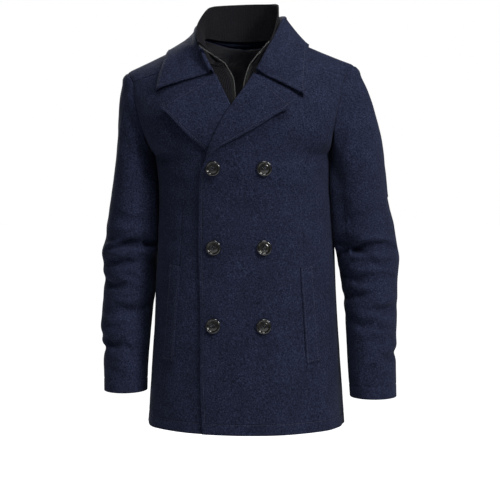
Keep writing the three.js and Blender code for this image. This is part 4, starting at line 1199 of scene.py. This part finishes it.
# the ends of the fall curl a little away from the chest, and the fold dips unevenly
curl = 3.6 * (np.exp(-low / 30) + np.exp(-high / 30)) * smooth(0.5, 1, a)
curl = curl + 1.2 * smooth(0.8, 1, a) * (np.exp(-low / 60) + np.exp(-high / 60))
relief = curl + (0.7 * ripple(p, 95, 41) + 0.3 * ripple(p, 33, 42)) * smooth(0.3, 0.5, a)
COLLAR_FOLDS = [
    ([(-146, -14), (-128, -44), (-120, -76)], 8, 1.6, 0.5),
    ([(112, 2), (98, -32), (90, -66)], 8, 1.8, 0.5),
    ([(-108, 18), (-100, -20), (-96, -56)], 9, 1.3, 0.5),
]
relief += folded(p[..., 0], p[..., 2], COLLAR_FOLDS) * smooth(-10, -40, p[..., 1]) * falling
base = p + n * (relief * smooth(0, 6, right))[..., None]
n = normals_of(base, n)
ends = groove(low, 7) * smooth(5, 7, right) + groove(high, 7) * smooth(5, 7, right)
carve = (groove(right, 7) * smooth(5, 7, low) * smooth(5, 7, high) + ends) * smooth(0.5, 0.56, a)
face = base + n * carve[..., None]
piece, outer = shell("collar_folded", face, n, COLLAR_WOOL, [navy_wool], free="rbt", sewn="l", back=base)
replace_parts(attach(piece, "root"), "collar")
stitch_lines.append(line_at(outer, right, 7, 1)[9:-9])
for run in (low, high):
    end_line = line_at(outer, run, 7, 0)
    stitch_lines.append(end_line[int(len(end_line) * 0.46):-9])

# KNIT BIB
# A dark ribbed knit front and stand collar that zips up inside the coat's neck opening. It
# is open here, and its collar has fallen outwards over the coat's fold on the right side.

# Rows: zip edge x, z and hidden outer edge x, z
BIBS = {
    "left": [
        (1, -250, 72, -250),
        (1, -190, 76, -200),
        (3, -150, 74, -155),
        (5, -108, 68, -112),
        (8.5, -80, 60, -80),
        (14, -60, 48, -50),
    ],
    "right": [
        (-5, -250, -78, -250),
        (-6, -190, -82, -200),
        (-10, -150, -82, -155),
        (-10, -108, -78, -112),
        (-15, -80, -72, -80),
        (-28, -58, -66, -50),
    ],
}
# The stand collar, wearer's right to left: base x, y, z and top x, y, z
BIB_COLLAR = np.array([
    (-28.5, -86, -56.5, -80, -92, -22),
    (-47, -80, -51, -88, -66, 4),
    (-69, -46, -27, -89, -34, 28),
    (-80, -8, -4, -77, 2, 55),
    (-75, 22, 0, -70, 28, 64),
    (-56, 46, -2, -52, 54, 69),
    (-8, 63, -4, -8, 68, 72),
    (39, 46, -2, 38, 54, 71),
    (58, 22, 2, 56, 26, 68),
    (64, -8, -2, 62, 0, 61),
    (52, -46, -27, 63, -34, 30),
    (33, -78, -52, 59, -62, 2),
    (14.5, -86, -58.5, 52, -80, -14),
], float)
KNIT, TAPE_WIDE, TAPE_THICK = 2.4, 6.0, 1.4
BIB_DEPTH = -(UNDER + WOOL + 1.4)
RIB = 3.4  # from one rib to the next

knit, nodes, links, shader = new_material("charcoal rib knit")
uv = nodes.new("ShaderNodeUVMap")
uv.uv_map = "cloth"
loops = nodes.new("ShaderNodeTexWave")
loops.bands_direction = "Y"
loops.inputs["Scale"].default_value = 120.0
loops.inputs["Distortion"].default_value = 1.2
loops.inputs["Detail"].default_value = 1.0
links.new(uv.outputs["UV"], loops.inputs["Vector"])
place = nodes.new("ShaderNodeTexCoord").outputs["Object"]
yarn = noise(nodes, links, place, 900.0, 2.0, 0.6)
tone = blend_colour(nodes, links, ramp(nodes, links, yarn, 0.35, 0.65), (0.0022, 0.0022, 0.0030, 1),
                    (0.0105, 0.0105, 0.0135, 1))
links.new(tone, shader.inputs["Base Color"])
shader.inputs["Roughness"].default_value = 0.95
shader.inputs["Specular IOR Level"].default_value = 0.06
shader.inputs["Sheen Weight"].default_value = 0.025
shader.inputs["Sheen Roughness"].default_value = 0.5
stitch_height = math_node(nodes, links, "ADD", math_node(nodes, links, "MULTIPLY", yarn, 0.6),
                          math_node(nodes, links, "MULTIPLY", loops.outputs["Fac"], 0.35))
bump(nodes, links, shader, stitch_height, 0.6, 0.0006)


def ribbed(distance):
    wave = 0.5 + 0.5 * np.cos(2 * np.pi * distance / RIB)
    return 1.0 * wave ** 0.7


bib_lines = {}
for name, side in SIDES.items():
    rows = np.array(BIBS[name], float)
    zip_edge = spline(columns(rows, 0, None, 1))
    out_edge = spline(columns(rows, 2, None, 3))
    bib_lines[name] = (zip_edge, out_edge)
    a, b = np.meshgrid(marks(72, 0.62, (0, 0.3), ROUND), marks(195, 3.0, ROUND, ROUND))
    edge = zip_edge(b) + np.array([side * (TAPE_WIDE + 0.4), 0, 0])
    flat_p = mix(edge, out_edge(b), a[..., None])
    p, n = front_at(flat_p[..., 0], flat_p[..., 2], BIB_DEPTH)
    left, right = spans(p, 1)
    relief = ribbed(left) - 0.75 + 0.5 * ripple(p, 50, 51)
    face = p + n * relief[..., None]
    piece, _ = shell(f"bib_{name}_knit", face, n, KNIT - 0.6, [knit], free="lrbt", back=p - n * 0.4)
    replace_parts(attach(piece, "root"), f"bib_{name}")

bib_base, bib_top = spline(BIB_COLLAR[:, :3]), spline(BIB_COLLAR[:, 3:])
a, b = np.meshgrid(np.linspace(0, 0.6, 22), np.linspace(0, 1, 160))
stand_p = collar_point(a, b, clear=False)
stand_n = normals_of(stand_p)
inward = unit(np.array([-8.0, 0, 0]) - stand_p * np.array([1, 1, 0]))
near_stand = a < 0.25
flip = np.sign(np.mean(np.sum(stand_n * inward, -1)[near_stand]))
stand_faces = Faces([(stand_p, stand_n * flip)])


def bib_collar_point(a, b):
    p = mix(bib_base(b), bib_top(b), a[..., None])
    return stand_faces.push(p, 0.9)


SEAM_SHARE, TAPE_SHARE = 0.033, 0.015
across = SEAM_SHARE + (1 - 2 * SEAM_SHARE) * marks(400, 0.7, ROUND, ROUND)
a, b = np.meshgrid(marks(86, 3.0, ROUND, (*ROUND, 3.5, 5)), across)
p = bib_collar_point(a, b)
p = relaxed(p, np.zeros(a.shape) + 0.15, 8)
n = normals_of(p)
inside = unit(np.array([-8.0, 0, 0]) - p * np.array([1, 1, 0]))
n = n * np.sign(np.mean(np.sum(n * inside, -1)))
low, high = spans(p, 0)
left, right = spans(p, 1)
mid_run = low[:, low.shape[1] // 2][:, None] + 0 * low
band = smooth(2.5, 4.5, right)
relief = (ribbed(mid_run) - 0.75) * band + 0.8 * ripple(p, 60, 52) - 0.35 * (1 - band)
face = p + n * relief[..., None]
piece, _ = shell("bib_collar_knit", face, n, KNIT - 0.4, [knit], free="lrbt", back=p - n * 0.3)
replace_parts(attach(piece, "root"), "bib_collar")

# ZIP
# An open-ended zip sewn to the edges of the knit: a woven tape on each side with moulded
# teeth along its free edge. Its slider is out of sight behind the coat's fronts.
tape_cloth, nodes, links, shader = new_material("zip tape")
uv = nodes.new("ShaderNodeUVMap")
uv.uv_map = "cloth"
weave = nodes.new("ShaderNodeTexBrick")
weave.inputs["Scale"].default_value = 700.0
weave.inputs["Color1"].default_value = (0.0075, 0.0078, 0.0085, 1)
weave.inputs["Color2"].default_value = (0.0045, 0.0048, 0.0055, 1)
weave.inputs["Mortar"].default_value = (0.0080, 0.0085, 0.0090, 1)
links.new(uv.outputs["UV"], weave.inputs["Vector"])
links.new(weave.outputs["Color"], shader.inputs["Base Color"])
shader.inputs["Roughness"].default_value = 0.85
shader.inputs["Specular IOR Level"].default_value = 0.15
bump(nodes, links, shader, weave.outputs["Fac"], 0.4, 0.0003)

tooth_metal, nodes, links, shader = new_material("zip teeth")
scuffs = noise(nodes, links, nodes.new("ShaderNodeTexCoord").outputs["Object"], 700.0, 2.0)
links.new(blend_colour(nodes, links, scuffs, (0.075, 0.078, 0.078, 1), (0.17, 0.175, 0.17, 1)),
          shader.inputs["Base Color"])
links.new(ramp(nodes, links, scuffs, 0.3, 0.7, 0.32, 0.5), shader.inputs["Roughness"])
shader.inputs["Metallic"].default_value = 0.85


def socket_id(tree, title):
    return next(i.identifier for i in tree.interface.items_tree
                if i.name == title and i.in_out == "INPUT")


def along_lines(name, lines, one, pitch, material, values):
    """Copies of a small mesh along lines on the cloth, as one plain mesh."""
    curve = bpy.data.curves.new(name + "_path", "CURVE")
    curve.dimensions = "3D"
    for line in lines:
        if len(line) < 2:
            continue
        spline_ = curve.splines.new("POLY")
        spline_.points.add(len(line) - 1)
        co = np.concatenate([line * 0.001, np.ones((len(line), 1))], 1)
        spline_.points.foreach_set("co", co.ravel())
    holder = bpy.data.objects.new(name + "_path", curve)
    bpy.context.scene.collection.objects.link(holder)
    tree = bpy.data.node_groups.new(name, "GeometryNodeTree")
    face = tree.interface
    face.new_socket("Geometry", in_out="INPUT", socket_type="NodeSocketGeometry")
    for title in ("Pitch", *values):
        face.new_socket(title, in_out="INPUT", socket_type="NodeSocketFloat")
    face.new_socket("Geometry", in_out="OUTPUT", socket_type="NodeSocketGeometry")
    nodes, links = tree.nodes, tree.links
    start, end = nodes.new("NodeGroupInput"), nodes.new("NodeGroupOutput")
    to_points = nodes.new("GeometryNodeCurveToPoints")
    to_points.mode = "LENGTH"
    links.new(start.outputs["Geometry"], to_points.inputs["Curve"])
    links.new(start.outputs["Pitch"], to_points.inputs["Length"])
    shape = one(nodes, links, start)
    place = nodes.new("GeometryNodeInstanceOnPoints")
    links.new(to_points.outputs["Points"], place.inputs["Points"])
    links.new(shape, place.inputs["Instance"])
    links.new(to_points.outputs["Rotation"], place.inputs["Rotation"])
    real = nodes.new("GeometryNodeRealizeInstances")
    links.new(place.outputs["Instances"], real.inputs["Geometry"])
    paint = nodes.new("GeometryNodeSetMaterial")
    paint.inputs["Material"].default_value = material
    links.new(real.outputs["Geometry"], paint.inputs["Geometry"])
    links.new(paint.outputs["Geometry"], end.inputs["Geometry"])
    made = holder.modifiers.new("repeat", "NODES")
    made.node_group = tree
    made[socket_id(tree, "Pitch")] = pitch
    for title, value in values.items():
        made[socket_id(tree, title)] = value
    graph = bpy.context.evaluated_depsgraph_get()
    mesh = bpy.data.meshes.new_from_object(holder.evaluated_get(graph), depsgraph=graph)
    bpy.data.objects.remove(holder)
    mesh.name = name
    mesh.polygons.foreach_set("use_smooth", np.ones(len(mesh.polygons), bool))
    piece = bpy.data.objects.new(name, mesh)
    bpy.context.scene.collection.objects.link(piece)
    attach(piece, "root")
    return piece


def tooth(nodes, links, start):
    box = nodes.new("GeometryNodeMeshCube")
    size = nodes.new("ShaderNodeCombineXYZ")
    for axis, title in zip("XYZ", ("Across", "Thick", "Along")):
        links.new(start.outputs[title], size.inputs[axis])
    links.new(size.outputs[0], box.inputs["Size"])
    return box.outputs["Mesh"]


BIB_CUT = {"left": (0.079, 0.210, 0.0112), "right": (0.080, 0.208, 0.0116)}

for name, side in SIDES.items():
    zip_edge, out_edge = bib_lines[name]
    strip = []
    for a in np.linspace(0, 1, 7):
        b = np.linspace(0, 0.985, 70)
        edge = zip_edge(b) + np.array([side * TAPE_WIDE * a, 0, 0])
        lower, _ = front_at(edge[:, 0], edge[:, 2], BIB_DEPTH)
        rise = np.linspace(0.06, 1, 30)
        share = TAPE_SHARE * a
        upper = bib_collar_point(rise, np.full(rise.shape, 1 - share if side > 0 else share))
        line = np.concatenate([lower, upper])
        run = np.concatenate([[0], np.cumsum(np.linalg.norm(np.diff(line, axis=0), axis=1))])
        even = np.linspace(0, run[-1], 150)
        strip.append(np.stack([np.interp(even, run, line[:, i]) for i in range(3)], 1))
    p = np.stack(strip, 1)
    p = relaxed(p, np.zeros(p.shape[:2]) + 0.2, 3)
    n = normals_of(p)
    n = n * np.sign(np.sum(n[20, 3] * np.array([0, -1, 0])))
    piece, outer = shell(f"zip_tape_{name}_woven", p, n, TAPE_THICK - 0.4, [tape_cloth], free="lr")
    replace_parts(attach(piece, "root"), f"zip_tape_{name}")
    teeth_line = p[:, 0] - n[:, 0] * 0.4
    teeth = along_lines(f"zip_teeth_{name}", [teeth_line], tooth, 0.0021, tooth_metal,
                        {"Across": 0.0022, "Thick": 0.0017, "Along": 0.0011})
    wide, long, area = BIB_CUT[name]

# BUTTONS
# Six four-hole coat buttons of 28 mm, turned from dark horn and polished: a rounded rim, a
# low dome inside it and thread through the holes in two bars, with a short shank behind.
horn, nodes, links, shader = new_material("polished dark horn")
place = nodes.new("ShaderNodeTexCoord").outputs["Object"]
stretch = nodes.new("ShaderNodeMapping")
stretch.inputs["Rotation"].default_value = (0.3, 0.5, 0.4)
stretch.inputs["Scale"].default_value = (1.0, 1.0, 0.25)
links.new(place, stretch.inputs["Vector"])
streaks = noise(nodes, links, stretch.outputs["Vector"], 260.0, 4.0, 0.6)
links.new(blend_colour(nodes, links, ramp(nodes, links, streaks, 0.48, 0.72), (0.0036, 0.0038, 0.0036, 1),
                       (0.0125, 0.0118, 0.0095, 1)), shader.inputs["Base Color"])
links.new(ramp(nodes, links, streaks, 0.3, 0.7, 0.16, 0.24), shader.inputs["Roughness"])
shader.inputs["Coat Weight"].default_value = 0.5
shader.inputs["Coat Roughness"].default_value = 0.05
bump(nodes, links, shader, noise(nodes, links, place, 420.0, 2.0), 0.12, 0.0002)

sewing, nodes, links, shader = new_material("navy sewing thread")
ply = noise(nodes, links, nodes.new("ShaderNodeTexCoord").outputs["Object"], 2600.0, 1.0)
links.new(blend_colour(nodes, links, ply, (0.0070, 0.0085, 0.0200, 1), (0.014, 0.017, 0.036, 1)),
          shader.inputs["Base Color"])
shader.inputs["Roughness"].default_value = 0.6
bump(nodes, links, shader, ply, 0.4, 0.0002)

BUTTON_PROFILE = [  # radius, height, in mm
    (0, 0.2), (9.0, 0.0), (11.8, 0.7), (13.5, 1.9), (14.0, 2.9), (13.75, 3.8), (13.0, 4.4),
    (12.1, 4.6), (11.3, 4.5), (10.5, 3.9), (10.0, 3.0), (9.4, 2.35), (8.5, 2.45), (7.2, 3.0), (5.6, 3.45),
    (3.6, 3.8), (1.8, 3.92), (0, 3.95),
]
HOLE_OUT, HOLE_RADIUS = 3.1, 1.25


def button_mesh():
    import bmesh
    mesh = bpy.data.meshes.new("button")
    bm = bmesh.new()
    profile = spline([(r, 0, z) for r, z in BUTTON_PROFILE])(np.linspace(0, 1, 44))
    rings = []
    turns = 56
    top = bm.verts.new((0, 0, profile[-1, 2]))
    foot = bm.verts.new((0, 0, profile[0, 2]))
    for r, _, z in profile[1:-1]:
        r = max(r, 0.2)
        rings.append([bm.verts.new((r * math.cos(2 * math.pi * k / turns),
                                    r * math.sin(2 * math.pi * k / turns), z)) for k in range(turns)])
    for low, high in zip(rings[:-1], rings[1:]):
        for k in range(turns):
            m = (k + 1) % turns
            bm.faces.new((low[k], low[m], high[m], high[k]))
    for k in range(turns):
        m = (k + 1) % turns
        bm.faces.new((foot, rings[0][m], rings[0][k]))
        bm.faces.new((top, rings[-1][k], rings[-1][m]))
    bmesh.ops.recalc_face_normals(bm, faces=bm.faces)
    bm.to_mesh(mesh)
    bm.free()
    body = bpy.data.objects.new("button_blank", mesh)
    bpy.context.scene.collection.objects.link(body)
    drills = []
    for k in range(4):
        turn = math.pi * (k + 0.5) / 2
        drill_mesh = bpy.data.meshes.new("drill")
        bm = bmesh.new()
        bmesh.ops.create_cone(bm, cap_ends=True, segments=20, radius1=HOLE_RADIUS,
                              radius2=HOLE_RADIUS, depth=20)
        bmesh.ops.translate(bm, verts=bm.verts, vec=(HOLE_OUT * math.cos(turn),
                                                     HOLE_OUT * math.sin(turn), 0))
        bm.to_mesh(drill_mesh)
        bm.free()
        drill = bpy.data.objects.new("drill", drill_mesh)
        bpy.context.scene.collection.objects.link(drill)
        cut = body.modifiers.new("hole", "BOOLEAN")
        cut.operation, cut.solver, cut.object = "DIFFERENCE", "EXACT", drill
        drills.append(drill)
    graph = bpy.context.evaluated_depsgraph_get()
    cut_mesh = bpy.data.meshes.new_from_object(body.evaluated_get(graph), depsgraph=graph)
    for spare in (body, *drills):
        bpy.data.objects.remove(spare)
    return cut_mesh


def thread_bars():
    """Two bars of four threads through the holes, and the shank behind, in mm."""
    import bmesh
    bm = bmesh.new()
    out = HOLE_OUT * math.cos(math.pi / 4)
    for y in (-out, out):
        for k in range(4):
            shift = (k - 1.5) * 0.36
            line = [(-out, y + shift, 1.2), (-out, y + shift, 3.2), (-out + 0.6, y + shift, 3.98),
                    (0, y + shift * 1.15, 4.2), (out - 0.6, y + shift, 3.98),
                    (out, y + shift, 3.2), (out, y + shift, 1.2)]
            rings = []
            for i, spot in enumerate(line):
                a, b = Vector(line[max(i - 1, 0)]), Vector(line[min(i + 1, len(line) - 1)])
                way = (b - a).normalized()
                across = Vector((0, 1, 0))
                lift = way.cross(across).normalized()
                rings.append([bm.verts.new(Vector(spot) + 0.24 * (
                    across * math.cos(t) + lift * math.sin(t))) for t in np.arange(6) * math.pi / 3])
            for low, high in zip(rings[:-1], rings[1:]):
                for m in range(6):
                    bm.faces.new((low[m], low[(m + 1) % 6], high[(m + 1) % 6], high[m]))
            bm.faces.new(rings[0])
            bm.faces.new(rings[-1][::-1])
    bmesh.ops.create_cone(bm, cap_ends=True, segments=14, radius1=2.2, radius2=1.6, depth=2.0)
    bmesh.ops.recalc_face_normals(bm, faces=bm.faces)
    mesh = bpy.data.meshes.new("thread")
    bm.to_mesh(mesh)
    bm.free()
    return mesh


blank, bars = button_mesh(), thread_bars()
TILT = {"top": (3, -2), "middle": (-2, 3), "bottom": (2, 2)}  # each sits a little differently
for row, z in zip(("top", "middle", "bottom"), BUTTON_Z):
    for name, side in SIDES.items():
        x = side * BUTTON_X
        spot, n = front_at(np.array([x]), np.array([z]), front_lift(1, x, z) + 0.5)
        turn = Vector((0, 0, 1)).rotation_difference(Vector(n[0])).to_matrix().to_4x4()
        tip = TILT[row]
        own = Matrix.Rotation(math.radians(17 * side + 9 * z / 100), 4, "Z")
        lean = Matrix.Rotation(math.radians(tip[0] * side), 4, "X")
        place = Matrix.Translation(Vector(spot[0])) @ turn @ lean @ own
        scale = Matrix.Scale(0.001, 4)
        for kind, source, material in (("horn", blank, horn), ("thread", bars, sewing)):
            mesh = source.copy()
            mesh.transform(scale @ place)
            mesh.materials.clear()
            mesh.materials.append(material)
            mesh.polygons.foreach_set("use_smooth", np.ones(len(mesh.polygons), bool))
            title = f"button_{row}_{name}"
            piece = bpy.data.objects.new(f"{title}_{kind}", mesh)
            bpy.context.scene.collection.objects.link(piece)
            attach(piece, "root")
            if kind == "horn":
                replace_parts(piece, title)
wide, long, area = FRONT_CUT["left"]

# TOPSTITCHING
# Lock stitches in navy thread, about six to the inch, sunk into the wool beside the edges
# of the collar, lapels, front edge and welts and along the hem.


def stitch(nodes, links, start):
    ball = nodes.new("GeometryNodeMeshUVSphere")
    ball.inputs["Segments"].default_value = 6
    ball.inputs["Rings"].default_value = 5
    ball.inputs["Radius"].default_value = 1.0
    size = nodes.new("ShaderNodeCombineXYZ")
    for axis, title in zip("XYZ", ("Thick", "Thick", "Half length")):
        links.new(start.outputs[title], size.inputs[axis])
    shape = nodes.new("GeometryNodeTransform")
    links.new(ball.outputs["Mesh"], shape.inputs["Geometry"])
    links.new(size.outputs[0], shape.inputs["Scale"])
    return shape.outputs["Geometry"]


along_lines("topstitching", stitch_lines, stitch, 0.0040, sewing,
            {"Thick": 0.00034, "Half length": 0.0016})

# STUDIO
# A pale floor far below the coat, a white surround, a broad soft light from the wearer's
# left front, and a camera at the photograph's angle.
floor_mesh = bpy.data.meshes.new("floor")
ring = [(30 * math.cos(t), 30 * math.sin(t), -1.5) for t in np.linspace(0, 2 * math.pi, 65)[:-1]]
floor_mesh.from_pydata(ring, [], [list(range(64))])
floor = bpy.data.objects.new("floor", floor_mesh)
bpy.context.scene.collection.objects.link(floor)
paper, nodes, links, shader = new_material("pale floor")
grain = noise(nodes, links, nodes.new("ShaderNodeTexCoord").outputs["Object"], 3.0, 3.0)
links.new(blend_colour(nodes, links, grain, (0.90, 0.90, 0.90, 1), (0.93, 0.93, 0.93, 1)),
          shader.inputs["Base Color"])
shader.inputs["Roughness"].default_value = 0.9
shader.inputs["Specular IOR Level"].default_value = 0.1
shader.inputs["Emission Color"].default_value = (1, 1, 1, 1)
eye = nodes.new("ShaderNodeLightPath").outputs["Is Camera Ray"]
links.new(math_node(nodes, links, "MULTIPLY", eye, 0.93), shader.inputs["Emission Strength"])
floor_mesh.materials.append(paper)

world = bpy.data.worlds.new("studio")
bpy.context.scene.world = world
world.use_nodes = True
nodes, links = world.node_tree.nodes, world.node_tree.links
backdrop = nodes["Background"]
backdrop.inputs["Color"].default_value = (1, 1, 1, 1)
backdrop.inputs["Strength"].default_value = 1.0
ambient = nodes.new("ShaderNodeBackground")
ambient.inputs["Color"].default_value = (0.93, 0.96, 1.0, 1)
ambient.inputs["Strength"].default_value = 0.13
seen = nodes.new("ShaderNodeLightPath")
either = nodes.new("ShaderNodeMixShader")
links.new(seen.outputs["Is Camera Ray"], either.inputs["Fac"])
links.new(ambient.outputs[0], either.inputs[1])
links.new(backdrop.outputs[0], either.inputs[2])
links.new(either.outputs[0], nodes["World Output"].inputs["Surface"])


def soft_light(name, place, aim, size, power, colour):
    light = bpy.data.lights.new(name, "AREA")
    light.shape, light.size, light.size_y = "RECTANGLE", size[0], size[1]
    light.energy, light.color = power, colour
    lamp = bpy.data.objects.new(name, light)
    lamp.location = place
    lamp.rotation_euler = (Vector(aim) - Vector(place)).to_track_quat("-Z", "Y").to_euler()
    bpy.context.scene.collection.objects.link(lamp)


soft_light("key", (2.3, -1.9, 1.7), (0, 0, -0.3), (0.9, 1.0), 128, (1.0, 0.985, 0.96))
soft_light("top", (0.3, -1.0, 2.2), (0, 0, -0.3), (1.0, 1.0), 46, (1.0, 1.0, 1.0))
soft_light("fill", (-2.2, -2.4, 0.2), (0, 0, -0.4), (1.6, 2.0), 3, (0.92, 0.95, 1.0))
soft_light("back", (-1.3, 2.7, 1.5), (0, 0, -0.3), (1.4, 1.4), 95, (1.0, 1.0, 1.0))

ANGLE, DISTANCE = math.radians(6), 3.1
camera_data = bpy.data.cameras.new("camera")
camera_data.sensor_width = 36
camera_data.lens = 36 * (DISTANCE / 0.00195) / 500
camera_data.shift_x, camera_data.shift_y = 0.008, -0.17
camera = bpy.data.objects.new("camera", camera_data)
camera.location = (DISTANCE * math.sin(ANGLE), -DISTANCE * math.cos(ANGLE), -0.24765)
camera.rotation_euler = (math.pi / 2, 0, ANGLE)
bpy.context.scene.collection.objects.link(camera)
bpy.context.scene.camera = camera
bpy.context.scene.view_settings.view_transform = "Standard"

bpy.context.view_layer.update()
